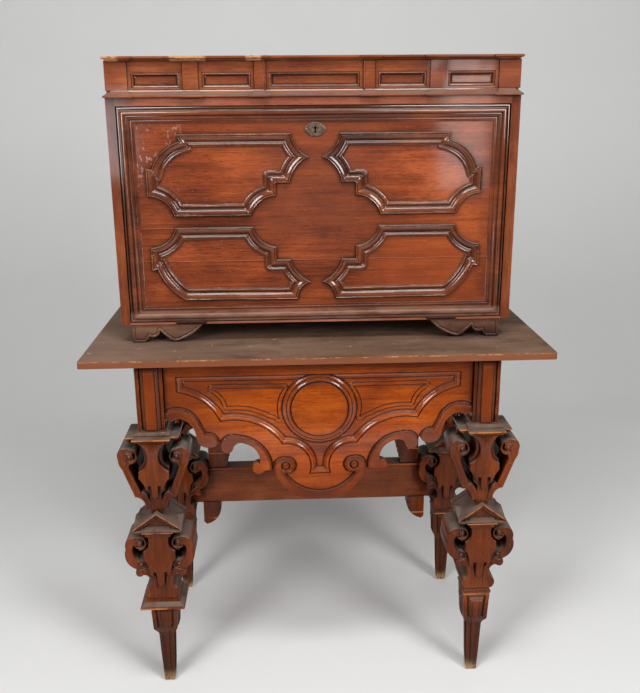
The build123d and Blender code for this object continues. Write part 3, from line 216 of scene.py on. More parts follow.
def varnished_wood(name, dark, middle, light, axis="x", gloss=0.34, coat=0.5, low_coat=1.0, wear=0.5,
                   dust=0.5, shift=0.0, grain=1.0, extra=None):
    """Old stained wood: clouded colour, fine grain, pores, grime and painted shade in corners, grooves and recesses,
    rubbed edges, dust on ledges.

    low_coat is the share of the coat that is left below the heights of FULL_GLOSS.
    """
    p = Paint(name)
    move = (shift, shift * 0.7, shift * 1.3)
    cloud = p.noise(along(axis, 9.0, 3.6), 4.0, 0.6, move, twist=0.4)
    figure = p.noise(along(axis, 70.0, 3.0), 4.0, 0.62, move, twist=0.5)
    streak = p.noise(along(axis, 420.0, 9.0), 3.0, 0.6, move)
    pores = p.noise(along(axis, 1300.0, 60.0), 2.0, 0.5, move)
    patch = p.noise(15.0, 6.0, 0.7, move)
    chips = p.noise(90.0, 4.0, 0.7, move)
    tone = cloud * 0.62 + figure * (0.24 * grain) + streak * (0.20 * grain) + patch * 0.12 + 0.22 * (1.0 - grain)
    colour = p.mix(dark, middle, tone.ramp(0.42, 0.59))
    colour = p.mix(colour, light, tone.ramp(0.56, 0.72))
    colour = p.mix(colour, shade(dark, 0.30), pores.ramp(0.56, 0.72) * (0.6 * grain))
    colour = p.mix(colour, shade(dark, 0.30), chips.ramp(0.66, 0.74) * 0.45)
    hollow = p.node("Attribute", {"attribute_name": "hollow"}, output=2)
    corner = p.node("AmbientOcclusion", {"samples": 8}, {"Distance": CORNER_REACH}, 1)
    recess = p.node("AmbientOcclusion", {"samples": 6}, {"Distance": RECESS_REACH}, 1)
    # Corners and recesses found by ambient occlusion: partly grime, partly painted shade
    grime_and_shade = (1.0 - corner).ramp(0.22, 0.75) * 0.75 + (1.0 - recess).ramp(0.25, 0.80) * 0.75
    # Painted shade: broad darkening inside recesses
    colour = p.mix(colour, shade(dark, 0.30), (1.0 - recess).ramp(0.02, 0.30) * 0.60)
    # Grooves and hollows of the carving darkened: partly grime, partly painted shade
    colour = p.mix(colour, shade(dark, 0.25), hollow.ramp(0.03, 0.32) * 0.75)
    # Corners and recesses darkened almost to black: grime and painted shade
    colour = p.mix(colour, shade(dark, 0.06), grime_and_shade.ramp(0.05, 1.0) * 0.95)
    rounded = p.node("Bevel", {"samples": 6}, {"Radius": ROUNDED_EDGE})
    flat = p.node("NewGeometry", output=1)
    bent = p.node("VectorMath", {"operation": "DOT_PRODUCT"}, [rounded, flat], 1)
    proud = (1.0 - bent).ramp(0.03, 0.14) + (0.0 - hollow).ramp(0.14, 0.40) * 0.8
    rubbed = proud * corner.ramp(0.5, 0.85) * (patch * 0.6 + chips * 0.55).ramp(0.52, 0.68)
    colour = p.mix(colour, BARE_WOOD, rubbed * wear)
    up = spot(p, NORMAL)[2]
    settled = up.ramp(0.34, 0.88) * (p.noise(30.0, 5.0, 0.65, move).ramp(0.28, 0.60) * 0.6 + 0.4)
    colour = p.mix(colour, DUST, settled * dust)
    fleck = p.noise(330.0, 2.0, 0.5, move).ramp(0.735, 0.765)
    colour = p.mix(colour, FLECK, fleck * 0.55)
    if extra:
        colour = extra(p, colour)
    roughness = gloss + streak * 0.12 + chips.ramp(0.45, 0.8) * 0.12 + settled * 0.35 + rubbed * 0.2
    height = streak * 0.35 + pores * 0.3 + p.noise(11.0, 2.0) * 1.8 + chips * 0.3
    bump = p.node("Bump", {}, {"Strength": 0.30, "Distance": 0.0010, "Height": height, "Normal": rounded})
    polish = (1.0 - settled) * (spot(p)[2].ramp(*FULL_GLOSS) * (1.0 - low_coat) + low_coat) * coat
    return p.finish(colour, roughness, bump, Coat_Weight=polish, Coat_Roughness=COAT_ROUGHNESS,
                    Specular_IOR_Level=BASE_SPECULAR)


def table_edges(p, colour):
    """Browner edges with pale chips along the upper arris, stains and dents on the top, and a painted sheen on the left
    of the top.
    """
    z = spot(p)[2]
    up = spot(p, NORMAL)[2]
    scuff = p.noise((45.0, 45.0, 120.0), 5.0, 0.72)
    colour = p.mix(colour, TABLE_EDGE, up.fade(0.3, 0.8) * (0.55 + scuff * 0.6))
    chip = z.ramp(0.8755, 0.8790) * up.fade(0.3, 0.9) * scuff.ramp(0.46, 0.62)
    colour = p.mix(colour, TABLE_CHIP, chip * 0.8)
    stain = p.noise((6.0, 9.0, 6.0), 5.0, 0.62, (2.0, 1.0, 0.0)).ramp(0.54, 0.66) * up.ramp(0.5, 0.9)
    colour = p.mix(colour, TABLE_STAIN, stain * 0.45)
    # Painted sheen: the left part of the top made paler, as if it caught the light
    painted_sheen = spot(p)[0].fade(-0.50, -0.10) * up.ramp(0.5, 0.9)
    colour = p.mix(colour, TABLE_SHEEN, painted_sheen * 0.45)
    dent = p.noise((38.0, 60.0, 38.0), 3.0, 0.6, (5.0, 0.0, 0.0)).ramp(0.70, 0.74) * up.ramp(0.5, 0.9)
    return p.mix(colour, TABLE_DENT, dent * 0.8)


def bare_patches(p, colour):
    """Cornice rubbed bare over some pilasters and at its left tip."""
    x = spot(p)[0]
    scuff = p.noise((70.0, 70.0, 200.0), 4.0, 0.7)
    worn = x.bands(CORNICE_SPOTS, 0.004)
    return p.mix(colour, CORNICE_BARE, worn * scuff.ramp(0.36, 0.52) * 0.85)


def stile_bloom(p, colour):
    """Painted sheen: paler, warmer colour high on the left-hand side of the front."""
    x, y, z = spot(p)
    cloud = p.noise((16.0, 16.0, 5.0), 4.0, 0.6, (6.0, 0.0, 0.0)).ramp(0.36, 0.62)
    # Painted sheen: where the left stile is high and at the front
    pale = x.fade(-0.445, -0.430) * z.ramp(1.10, 1.24) * (0.0 - y).ramp(0.130, 0.134)
    return p.mix(colour, STILE_SHEEN, pale * (cloud * 0.45 + 0.20))


def frame_dust(p, colour):
    """Pale dust and worn varnish along the bottom run of the fall's frame."""
    z = spot(p)[2]
    cloud = p.noise((14.0, 14.0, 40.0), 5.0, 0.65, (7.0, 0.0, 0.0)).ramp(0.34, 0.60)
    low = z.ramp(0.930, 0.933) * z.fade(0.950, 0.962)
    return p.mix(colour, FRAME_DUST, low * (cloud * 0.45 + 0.15))


def leg_wear(p, colour):
    """Feet rubbed pale at the floor; bright edges on the abacus, the ledges and the gables' rakes."""
    x, y, z = spot(p)
    up = spot(p, NORMAL)[2].size()
    scuff = p.noise((60.0, 60.0, 25.0), 5.0, 0.7)
    chance = p.noise((22.0, 22.0, 60.0), 3.0, 0.6, (3.0, 0.0, 0.0)).ramp(0.36, 0.56)
    across, out = (x.size() - LEG_X * MM).size(), (y.size() - LEG_Y * MM).size()
    rake = z + across.least(out) * RAKE_SLOPE - (EAVES + GABLE_HALF * RAKE_SLOPE) * MM
    rake = rake.band(-0.0030, 0.0006, 0.0004) * across.most(out).ramp(0.0574, 0.0577)
    edge = z.bands(LEG_EDGES, 0.0004) * up.fade(0.2, 0.5) * across.most(out).ramp(0.030, 0.032)
    colour = p.mix(colour, LEG_EDGE, (edge + rake).least(1.0) * chance * 0.85)
    rib = z.ramp(0.700, 0.705) * across.least(out).fade(0.0105, 0.0125) * across.most(out).ramp(0.0335, 0.0348)
    colour = p.mix(colour, LEG_RIB, rib * 0.45)
    # Painted shade: the feet darker towards the floor, against the floor's reflection on them
    colour = p.mix(colour, FOOT_DARK, z.fade(0.19, 0.23) * 0.45)
    low = z.fade(0.004, 0.040) * scuff.ramp(0.30, 0.60)
    return p.mix(colour, PALE_WOOD, low * 0.8)


def strap_tint(p, colour):
    """Straps are darker and browner than the board behind them."""
    x, y = spot(p)[:2]
    strap = (0.0 - y).ramp(0.2362, 0.2368).most(x.size().ramp(0.4127, 0.4133))
    clouds = p.noise((5.0, 5.0, 9.0), 3.0, 0.6, (9.0, 0.0, 0.0)).ramp(0.40, 0.64)
    ends = x.size().ramp(0.18, 0.36) * 0.35
    colour = p.mix(colour, APRON_CLOUD, (clouds * 0.35 + ends).least(0.6))
    return p.mix(colour, STRAP_BROWN, strap * 0.75)


def fall_marks(p, colour):
    """Cracks between the fall's boards, a purplish cast in the middle, a painted pool of light low on the right and a
    worn bloom high on the left.
    """
    x, y, z = spot(p)
    wave = (p.noise((9.0, 1.0, 1.0), 3.0, 0.6) - 0.5) * 0.010
    for level, left, right in CRACKS:
        crack = (z + wave - level).size().fade(0.0002, 0.0013)
        colour = p.mix(colour, CRACK_DARK, crack * x.band(left, right, 0.01) * 0.75)
        pale = (z + wave - level - 0.0022).size().fade(0.0002, 0.0012)
        colour = p.mix(colour, CRACK_LIP, pale * x.band(left, right, 0.01) * 0.30)
    middle = x.size().fade(0.05, 0.24) * z.ramp(1.02, 1.20)
    colour = p.mix(colour, FALL_MIDDLE, middle * 0.45)
    rim = x.size().ramp(0.34, 0.42).most(z.ramp(1.34, 1.41)).most(z.fade(0.96, 1.02))
    colour = p.mix(colour, FALL_RIM, rim * 0.42)
    # Painted light: the lower right of the fall made paler and warmer, as if more light fell there
    painted_light = x.ramp(0.08, 0.20) * z.fade(1.10, 1.22) * (1.0 - rim)
    colour = p.mix(colour, FALL_LIT, painted_light * 0.35)
    pits = p.noise((120.0, 120.0, 60.0), 4.0, 0.75, (4.0, 0.0, 0.0)).ramp(0.56, 0.62)
    bloom = p.noise(7.0, 3.0, 0.5).ramp(0.40, 0.55) * x.band(-0.41, -0.31, 0.02) * z.band(1.24, 1.41, 0.03)
    bloom = bloom * (0.0 - y).ramp(0.1225, 0.1235)
    return p.mix(colour, FALL_BLOOM, pits * bloom * 0.55)


def iron(name, dark=(0.028, 0.024, 0.021), rust=(0.13, 0.075, 0.045)):
    p = Paint(name)
    spots = p.noise(160.0, 5.0, 0.65)
    colour = p.mix(dark, rust, spots.ramp(0.42, 0.70))
    bump = p.node("Bump", {}, {"Strength": 0.4, "Distance": 0.0006, "Height": spots})
    return p.finish(colour, 0.38 + spots * 0.3, bump, Metallic=0.85)


def brass(name):
    p = Paint(name)
    spots = p.noise(300.0, 4.0, 0.6)
    colour = p.mix((0.55, 0.34, 0.10), (0.20, 0.12, 0.045), spots.ramp(0.45, 0.75))
    return p.finish(colour, 0.28 + spots * 0.2, None, Metallic=0.9)


# Dark, middle and light colour, then what differs from plain varnished wood.
WOOD_LOOKS = {
    "table_wood": ((0.085, 0.046, 0.029), (0.150, 0.084, 0.053), (0.215, 0.130, 0.088),
                   dict(gloss=0.46, coat=0.12, wear=0.7, dust=0.10, shift=3.1, extra=table_edges)),
    "apron_wood": ((0.120, 0.0170, 0.0015), (0.310, 0.050, 0.0020), (0.480, 0.090, 0.0030),
                   dict(wear=0.3, dust=0.4, shift=5.3, coat=0.95, low_coat=0.30, grain=1.4, extra=strap_tint)),
    "leg_wood": ((0.032, 0.0070, 0.0020), (0.100, 0.018, 0.0032), (0.200, 0.042, 0.0065),
                 dict(axis="z", wear=0.9, dust=0.85, shift=7.7, low_coat=0.6, extra=leg_wear)),
    "leg_plates": ((0.055, 0.011, 0.0025), (0.125, 0.024, 0.0040), (0.215, 0.046, 0.0070),
                   dict(axis="z", wear=0.5, dust=0.8, shift=9.1, low_coat=0.45)),
    "back_wood": ((0.05, 0.020, 0.009), (0.11, 0.048, 0.022), (0.17, 0.085, 0.042),
                  dict(gloss=0.5, coat=0.1, wear=0.4, dust=0.5, shift=1.2)),
    "case_wood": ((0.060, 0.015, 0.007), (0.140, 0.032, 0.0125), (0.25, 0.066, 0.022),
                  dict(axis="z", wear=1.0, dust=0.5, shift=2.2, extra=stile_bloom)),
    "case_moulding": ((0.085, 0.0200, 0.0090), (0.215, 0.050, 0.0175), (0.34, 0.093, 0.030),
                      dict(wear=0.9, dust=0.85, shift=4.4, coat=0.95)),
    "fall_moulding": ((0.050, 0.0120, 0.0055), (0.130, 0.030, 0.0105), (0.235, 0.060, 0.0190),
                      dict(wear=1.0, dust=0.85, shift=4.4, coat=0.95, extra=frame_dust)),
    "fall_wood": ((0.085, 0.0190, 0.0080), (0.210, 0.042, 0.0125), (0.345, 0.076, 0.0200),
                  dict(wear=0.4, dust=0.4, shift=6.5, coat=0.7, grain=1.5, extra=fall_marks)),
    "inner_wood": ((0.14, 0.060, 0.024), (0.27, 0.135, 0.06), (0.40, 0.23, 0.11),
                   dict(gloss=0.42, coat=0.2, wear=0.3, dust=0.3, shift=8.8)),
    # Paler colours on the rail and case boards: partly dust, partly painted sheen on the rail above the fall
    "rail_wood": ((0.130, 0.038, 0.020), (0.290, 0.086, 0.045), (0.430, 0.150, 0.082),
                  dict(wear=1.0, dust=0.5, shift=10.2)),
    "cornice_wood": ((0.080, 0.0185, 0.0080), (0.175, 0.041, 0.0135), (0.29, 0.080, 0.022),
                     dict(wear=1.0, dust=0.65, shift=11.4, extra=bare_patches)),
    # Paler and more orange than the wood's own tone, to offset the shade under the apron: partly its own colour, partly
    # painted light
    "stretcher_wood": ((0.115, 0.026, 0.009), (0.245, 0.058, 0.017), (0.38, 0.100, 0.028),
                       dict(wear=0.5, dust=0.6, shift=12.4, low_coat=0.4)),
    "foot_wood": ((0.060, 0.026, 0.017), (0.125, 0.055, 0.036), (0.22, 0.110, 0.070),
                  dict(wear=1.0, dust=0.8, shift=14.2, gloss=0.42, coat=0.3)),
}
WOODS = {name: varnished_wood(name, *tones, **rest) for name, (*tones, rest) in WOOD_LOOKS.items()}
WOODS.update({
    "escutcheon_iron": iron("escutcheon_iron", (0.110, 0.070, 0.050), (0.24, 0.155, 0.115)),
    "lock_iron": iron("lock_iron"),
    "hinge_iron": iron("hinge_iron", (0.040, 0.016, 0.010), (0.085, 0.032, 0.018)),
    "nail_brass": brass("nail_brass"),
})
OTHER_WOOD = {"back_case_feet": "foot_wood", "rear_stretcher": "stretcher_wood", "back_rail": "stretcher_wood",
              "top_rail": "rail_wood", "case_top_board": "rail_wood", "case_bottom_board": "rail_wood"}


def dress_frame():
    """Give every frame node the finish of its slot."""
    for entry in frame["record"]["subparts"]:
        node = frame["nodes"][entry["node"]]
        for part in ([node] if node.type == "MESH" else node.children_recursive):
            if part.type == "MESH":
                part.data.materials.clear()
                wood = OTHER_WOOD.get(entry["node"], entry["material_slot"])
                part.data.materials.append(WOODS[wood])


# ---------------------------------------------------------------- drawing: outlines in the XZ plane, millimetres
ARC_STEP = 2.0
SHARP_TURN, MITRE_SHARE = 0.4, 0.82             # radians; least share of the plain distance
CLEAR = 0.985                                   # a crease's spots keep this share of their depth from other edges


def arc(a, via, b):
    """Points of the arc from a through via to b, without its start."""
    bx, bz = via[0] - a[0], via[1] - a[1]
    cx, cz = b[0] - a[0], b[1] - a[1]
    double = 2 * (bx * cz - bz * cx)
    ux = (cz * (bx ** 2 + bz ** 2) - bz * (cx ** 2 + cz ** 2)) / double
    uz = (bx * (cx ** 2 + cz ** 2) - cx * (bx ** 2 + bz ** 2)) / double
    radius = math.hypot(ux, uz)
    start = math.atan2(-uz, -ux)
    turn = (math.atan2(cz - uz, cx - ux) - start) % math.tau
    if double < 0:
        turn -= math.tau
    count = max(3, math.ceil(abs(turn) * radius / ARC_STEP))
    angles = [start + turn * i / count for i in range(1, count)]
    return [(a[0] + ux + radius * math.cos(t), a[1] + uz + radius * math.sin(t)) for t in angles] + [b]


def loop(*steps, start=None):
    """Closed outline; a step is a point, or the (via, end) of an arc from the last point.

    An arc that comes first begins at start, or else at the outline's last point.
    """
    last = steps[-1]
    here = start or (last[1] if isinstance(last[0], tuple) else last)
    points = []
    for step in steps:
        if isinstance(step[0], tuple):
            points += arc(here, *step)
            here = step[1]
        else:
            points.append(step)
            here = step
    return np.array(points, float)


def corners(*points):
    return np.array(points, float)


def box_line(x0, x1, z0, z1):
    return corners((x0, z0), (x1, z0), (x1, z1), (x0, z1))


def ring(x, z, radius, step=2.0):
    count = max(16, math.ceil(math.tau * radius / step))
    angles = np.linspace(0, math.tau, count, endpoint=False)
    return np.column_stack([x + radius * np.cos(angles), z + radius * np.sin(angles)])


def both_sides(half):
    """Whole outline from a right half that starts and ends on the middle line."""
    left = half[::-1] * (-1, 1)
    points = np.vstack([half, left]).tolist()
    return np.array([p for i, p in enumerate(points) if math.dist(p, points[i - 1]) > SAME_PLACE])


def fine(outline, step):
    """The outline with no run longer than step."""
    points = []
    for here, there in zip(outline, np.roll(outline, -1, 0)):
        count = max(1, math.ceil(math.dist(here, there) / step))
        for i in range(count):
            points.append(here + (there - here) * i / count)
    return np.array(points)


def distance(spots, run, closed=True):
    """Distance from each spot to the nearest point of a run."""
    a = run if closed else run[:-1]
    b = np.roll(run, -1, 0) if closed else run[1:]
    along_run = b - a
    length = np.maximum((along_run ** 2).sum(1), TINY)
    result = np.empty(len(spots))
    for i in range(0, len(spots), AT_ONCE):
        gap = spots[i:i + AT_ONCE, None] - a
        share = np.clip((gap * along_run).sum(2) / length, 0, 1)
        result[i:i + AT_ONCE] = np.sqrt(((gap - share[:, :, None] * along_run) ** 2).sum(2).min(1))
    return result


def inside(spots, outline):
    a, b = outline, np.roll(outline, -1, 0)
    result = np.zeros(len(spots), bool)
    for i in range(0, len(spots), AT_ONCE):
        x, z = spots[i:i + AT_ONCE, :1], spots[i:i + AT_ONCE, 1:]
        between = (a[:, 1] > z) != (b[:, 1] > z)
        slope = (b[:, 0] - a[:, 0]) / np.where(b[:, 1] == a[:, 1], TINY, b[:, 1] - a[:, 1])
        hits = between & (x < a[:, 0] + (z - a[:, 1]) * slope)
        result[i:i + AT_ONCE] = hits.sum(1) % 2 == 1
    return result


def on_board(spots, outlines):
    """Which spots are inside the first outline and outside the others."""
    keep = inside(spots, outlines[0])
    for hole in outlines[1:]:
        keep &= ~inside(spots, hole)
    return keep


def sideways(outline):
    """Unit normal at each point of an outline."""
    side = np.roll(outline, -1, 0) - np.roll(outline, 1, 0)
    return np.column_stack([-side[:, 1], side[:, 0]]) / np.maximum(np.hypot(*side.T), TINY)[:, None]


def depth_in(spots, outline):
    """Distance inside an outline; negative outside.

    At its sharp inward corners the depth is mitred, down to MITRE_SHARE of the plain distance.
    """
    depth, within = distance(spots, outline), inside(spots, outline)
    before, after = outline - np.roll(outline, 1, 0), np.roll(outline, -1, 0) - outline
    turn = np.arctan2(before[:, 0] * after[:, 1] - before[:, 1] * after[:, 0], (before * after).sum(1))
    way = np.sign(turn.sum())
    for i in np.flatnonzero(turn * way < -SHARP_TURN):
        gap = spots - outline[i]
        near = within & (np.abs(np.hypot(gap[:, 0], gap[:, 1]) - depth) < 1e-6)
        sides = [(run[0] * gap[:, 1] - run[1] * gap[:, 0]) / math.hypot(*run) * way for run in (before[i], after[i])]
        depth = np.where(near, np.maximum(np.maximum(*sides), depth * MITRE_SHARE), depth)
    return np.where(within, depth, -depth)


def profile(depth, *stations):
    """Height at a depth, straight between (depth, height) stations."""
    return np.interp(depth, [s[0] for s in stations], [s[1] for s in stations])


def dome(depth, radius, rise):
    """Rounded rise from 0 at an edge to its full height at a depth of radius."""
    share = np.clip(depth / radius, 0, 1)
    return rise * np.sqrt(np.clip(1 - (1 - share) ** 2, 0, 1))


def ripple(spots, size, seed):
    """Slow unevenness of hand work, between about -1 and 1."""
    rng = np.random.default_rng(seed)
    total = np.zeros(len(spots))
    for _ in range(6):
        wave = rng.normal(size=2)
        wave *= math.tau / size * rng.uniform(0.5, 1.2) / np.linalg.norm(wave)
        total += np.sin(spots @ wave + rng.uniform(0, math.tau))
    return total / 4


# ---------------------------------------------------------------- carving: meshes in millimetres
LONG_EDGE = 0.007                               # metres
SHARP_ANGLE, RUN_ANGLE, FRAME_ANGLE = 35, 28, 50        # an edge that bends more is drawn sharp


def note_hollows(mesh):
    """Note at each vertex how hollow (+) or proud (-) the carving is there, for grime and painted shade in hollows and
    for wear on proud parts.

    Vertices on a long edge belong to a plain board and count as flat.
    """
    count = len(mesh.vertices)
    pairs, spots, normals = np.empty(len(mesh.edges) * 2, int), np.empty(count * 3), np.empty(count * 3)
    mesh.edges.foreach_get("vertices", pairs)
    mesh.vertices.foreach_get("co", spots)
    mesh.vertices.foreach_get("normal", normals)
    a, b = pairs.reshape(-1, 2).T
    spots, normals = spots.reshape(-1, 3), normals.reshape(-1, 3)
    way = spots[b] - spots[a]
    length = np.linalg.norm(way, axis=1)
    way /= np.maximum(length, 1e-7)[:, None]

    def gather(from_a, from_b):
        return np.bincount(a, from_a, count) + np.bincount(b, from_b, count)

    ones = np.ones(len(a))
    share = np.maximum(gather(ones, ones), 1)
    bend = gather((normals[a] * way).sum(1), -(normals[b] * way).sum(1)) / share
    bend[gather(length > LONG_EDGE, length > LONG_EDGE) > 0] = 0
    bend = 0.6 * bend + 0.4 * gather(bend[b], bend[a]) / share
    mesh.attributes.new("hollow", "FLOAT", "POINT").data.foreach_set("value", bend)


class Carving:
    """Mesh that grows piece by piece."""

    def __init__(self):
        self.verts = np.zeros((0, 3))
        self.faces = []

    def add(self, verts, faces):
        base = len(self.verts)
        self.verts = np.vstack([self.verts, verts])
        self.faces += [tuple(int(i) + base for i in face) for face in faces]
        return self

    def join(self, other):
        return self.add(other.verts, other.faces)

    def turned(self, degrees):
        """Copy turned about the upright axis."""
        c, s = math.cos(math.radians(degrees)), math.sin(math.radians(degrees))
        return Carving().add(self.verts @ np.array([[c, s, 0], [-s, c, 0], [0, 0, 1]]), self.faces)

    def mirrored(self):
        return Carving().add(self.verts * (-1, 1, 1), [face[::-1] for face in self.faces])

    def moved(self, x=0.0, y=0.0, z=0.0):
        return Carving().add(self.verts + (x, y, z), self.faces)

    def pair(self, sides, name, slot, body, node):
        """A piece for the first side and its mirror image for the second."""
        for side, copy in zip(sides, (self, self.mirrored())):
            copy.piece(name.format(side), slot, body, node.format(side))

    def piece(self, name, slot, body, *nodes, sharp=SHARP_ANGLE):
        mesh = bpy.data.meshes.new(name)
        mesh.from_pydata((self.verts * MM).tolist(), [], self.faces)
        mesh.materials.append(WOODS[slot])
        mesh.shade_smooth()
        note_hollows(mesh)
        mesh.set_sharp_from_angle(angle=math.radians(sharp))
        made = bpy.data.objects.new(name, mesh)
        bpy.context.collection.objects.link(made)
        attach(made, body)
        if nodes:
            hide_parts(*nodes)
        return made


def grid_inside(outlines, step):
    """Staggered grid of spots inside the first outline and outside the others."""
    low, high = outlines[0].min(0), outlines[0].max(0)
    rows = np.arange(low[1] + step * 0.5, high[1], step * 0.87)
    columns = np.arange(low[0] + step * 0.5, high[0], step)
    spots = np.array([(x + (i % 2) * step / 2, z) for i, z in enumerate(rows) for x in columns])
    keep = on_board(spots, outlines)
    for outline in outlines:
        keep[keep] = distance(spots[keep], outline) > step * 0.55
    return spots[keep]


def triangles(outlines, extra):
    """Plane triangles between outlines and spots: corners, faces."""
    points, edges = [], []
    for outline in outlines:
        base = len(points)
        points += outline.tolist()
        edges += [(base + i, base + (i + 1) % len(outline)) for i in range(len(outline))]
    points += extra.tolist()
    found = geometry.delaunay_2d_cdt([Vector(p) for p in points], edges, [], 0, 1e-5, False)
    spots = np.array([tuple(v) for v in found[0]])
    faces = np.array([f for f in found[2] if len(f) == 3])
    faces = faces[on_board(spots[faces].mean(1), outlines)]
    a, b, c = spots[faces[:, 0]], spots[faces[:, 1]], spots[faces[:, 2]]
    area = (b[:, 0] - a[:, 0]) * (c[:, 1] - a[:, 1]) - (b[:, 1] - a[:, 1]) * (c[:, 0] - a[:, 0])
    faces[area < 0] = faces[area < 0][:, ::-1]
    return spots, faces


def offset_spots(outline, depths, step):
    """Spots that follow an outline at set depths inside it, or outside it for a negative depth."""
    outline, rows = fine(outline, step), []
    for depth in depths:
        for way in (1, -1):
            row = outline + sideways(outline) * abs(depth) * way
            good = inside(row, outline) == (depth > 0)
            good[good] = distance(row[good], outline) > abs(depth) * CLEAR
            rows.append(row[good])
    return np.vstack(rows)


def relief(outlines, height, face_y, back_y, step=2.0, rounding=1.5, twin=False, rows=(), reach=None,
           lines=(), creases=()):
    """Carved board: height(spots) lifts the front, and a twin carries the same carving on its back.

    Rows are depths at which a crease runs round inside, lines and creases are runs and spots of other creases.
    Reach leaves out the grid's spots deeper than that.
    """
    outlines = [fine(outline, step) for outline in outlines]
    depths = list(rows) or ([rounding * 0.3, rounding] if rounding > 0 else [])
    creases = list(creases)
    for outline in outlines:
        for depth in depths:
            for way in (1, -1):
                row = outline + sideways(outline) * depth * way
                good = on_board(row, outlines)
                for other in outlines:
                    good[good] = distance(row[good], other) > depth * CLEAR
                creases.append(row[good])
    grid = grid_inside(outlines, step)
    if reach:
        grid = grid[distance(grid, outlines[0]) < reach]
    for crisp in lines:
        grid = grid[distance(grid, crisp) > step * 0.4]
    spots, faces = triangles(outlines, np.vstack([grid] + creases + [fine(crisp, step) for crisp in lines]))
    edge = np.minimum.reduce([distance(spots, outline) for outline in outlines])
    lift = height(spots)
    if rounding > 0:
        lift = lift - rounding + dome(edge, rounding, rounding)
    front = np.column_stack([spots[:, 0], face_y - lift, spots[:, 1]])
    back_lift = lift if twin else np.zeros(len(spots))
    back = np.column_stack([spots[:, 0], back_y + back_lift, spots[:, 1]])
    count = len(spots)
    carving = Carving()
    directed = {}
    for a, b, c in faces.tolist():
        for pair in ((a, b), (b, c), (c, a)):
            directed[pair] = True
    rim = [pair for pair in directed if pair[::-1] not in directed]
    walls = [(b, a, a + count, b + count) for a, b in rim]
    carving.add(np.vstack([front, back]), faces.tolist() + (faces[:, ::-1] + count).tolist() + walls)
    return carving


def without_back(carving, count):
    """Drop the faces that lie against another board."""
    carving.faces = [face for face in carving.faces if not all(i >= count for i in face)]
    return carving


def tube_faces(rings, around):
    """Quads between rings that each have the same number of corners."""
    return [(around * i + j, around * i + (j + 1) % around, around * (i + 1) + (j + 1) % around, around * (i + 1) + j)
            for i in range(rings - 1) for j in range(around)]


def swept_frame(half_x, low, high, face_y, stations):
    """Mitred rectangular moulding: (inset, height) stations run round four corners."""
    verts = []
    for inset, height in stations:
        x, y, z0, z1 = half_x - inset, face_y - height, low + inset, high - inset
        verts += [(-x, y, z0), (x, y, z0), (x, y, z1), (-x, y, z1)]
    return Carving().add(np.array(verts), tube_faces(len(stations), 4))


def run_of_moulding(path, stations, face_y):
    """Moulding along a front: path gives (x, forward), stations (forward, z) from bottom to top."""
    path = np.array(path, float)
    verts, faces = [], []
    for i, (x, forward) in enumerate(path):
        before = path[i] - path[i - 1] if i else path[1] - path[0]
        after = path[i + 1] - path[i] if i + 1 < len(path) else before
        before, after = before / np.hypot(*before), after / np.hypot(*after)
        n1, n2 = np.array([-before[1], before[0]]), np.array([-after[1], after[0]])
        mitre = (n1 + n2) / (1 + n1 @ n2)
        verts += [(x + mitre[0] * out, face_y - forward - mitre[1] * out, z) for out, z in stations]
    n = len(stations)
    for i in range(len(path) - 1):
        for j in range(n - 1):
            a = i * n + j
            faces.append((a, a + n, a + n + 1, a + 1))
    faces += [tuple(range(n))[::-1], tuple((len(path) - 1) * n + j for j in range(n))]
    return Carving().add(np.array(verts), faces)


def block(x0, x1, y0, y1, z0, z1, bevel=0.8):
    """Board with broken edges."""
    b = bevel
    rings = []
    for z, inset in ((z0, b), (z0 + b, 0), (z1 - b, 0), (z1, b)):
        rings.append([(x0 + inset, y0 + b, z), (x0 + b, y0 + inset, z), (x1 - b, y0 + inset, z),
                      (x1 - inset, y0 + b, z), (x1 - inset, y1 - b, z), (x1 - b, y1 - inset, z),
                      (x0 + b, y1 - inset, z), (x0 + inset, y1 - b, z)])
    ends = [tuple(range(8))[::-1], tuple(range(24, 32))]
    return Carving().add(np.vstack(rings), tube_faces(4, 8) + ends)


def tower(sections):
    """Square turned part through (z, x_size, y_size) sections."""
    verts = []
    for z, x, y in sections:
        verts += [(-x / 2, -y / 2, z), (x / 2, -y / 2, z), (x / 2, y / 2, z), (-x / 2, y / 2, z)]
    last = 4 * len(sections)
    ends = [(3, 2, 1, 0), (last - 4, last - 3, last - 2, last - 1)]
    return Carving().add(np.array(verts), tube_faces(len(sections), 4) + ends)


def spiral(centre, outer, inner, start, end):
    """Open run that winds in from one radius to another; angles in degrees."""
    angles = np.radians(np.linspace(start, end, 60))
    radii = np.linspace(outer, inner, 60)
    return np.column_stack([centre[0] + radii * np.cos(angles), centre[1] + radii * np.sin(angles)])


def rolled_end(centre, radius, start, end, eye=0.30):
    """Height of a volute: a groove winds in to a shiny round eye."""
    groove = spiral(centre, radius * 0.98, radius * 0.42, start, end)

    def height(spots):
        reach = np.hypot(spots[:, 0] - centre[0], spots[:, 1] - centre[1])
        cut = distance(spots, groove, closed=False)
        lift = 1.8 - 8.5 * np.exp(-(cut / (radius * 0.12)) ** 2)
        bump = dome(radius * eye - reach, radius * eye, radius * 0.34) - 0.4
        return np.where(reach < radius * eye, bump, lift)
    return height


# ---------------------------------------------------------------- the legs
QUARTERS = (0, 90, 180, 270)
FACE_BACK = -POST_HALF + 8
SCROLL_FACE, CORE_FACE, FRET_ROUNDING = 42.0, 40.5, 2.2
WEB_HALF, WEB_STEP = 5, 9.0


def plain(spots):
    return 0 * spots[:, 0]


def panel_steps(depth):
    """Raised panel: a groove, a sloping side with two small steps and a flat rib."""
    return profile(depth, (-1.4, 0), (-0.2, -3.8), (1.4, -4.2), (2.4, -2.4), (3.6, -2.2), (9.6, 2.2), (10.4, 1.2),
                   (11.4, 1.6), (12.4, 4.4), (14.6, 4.8))


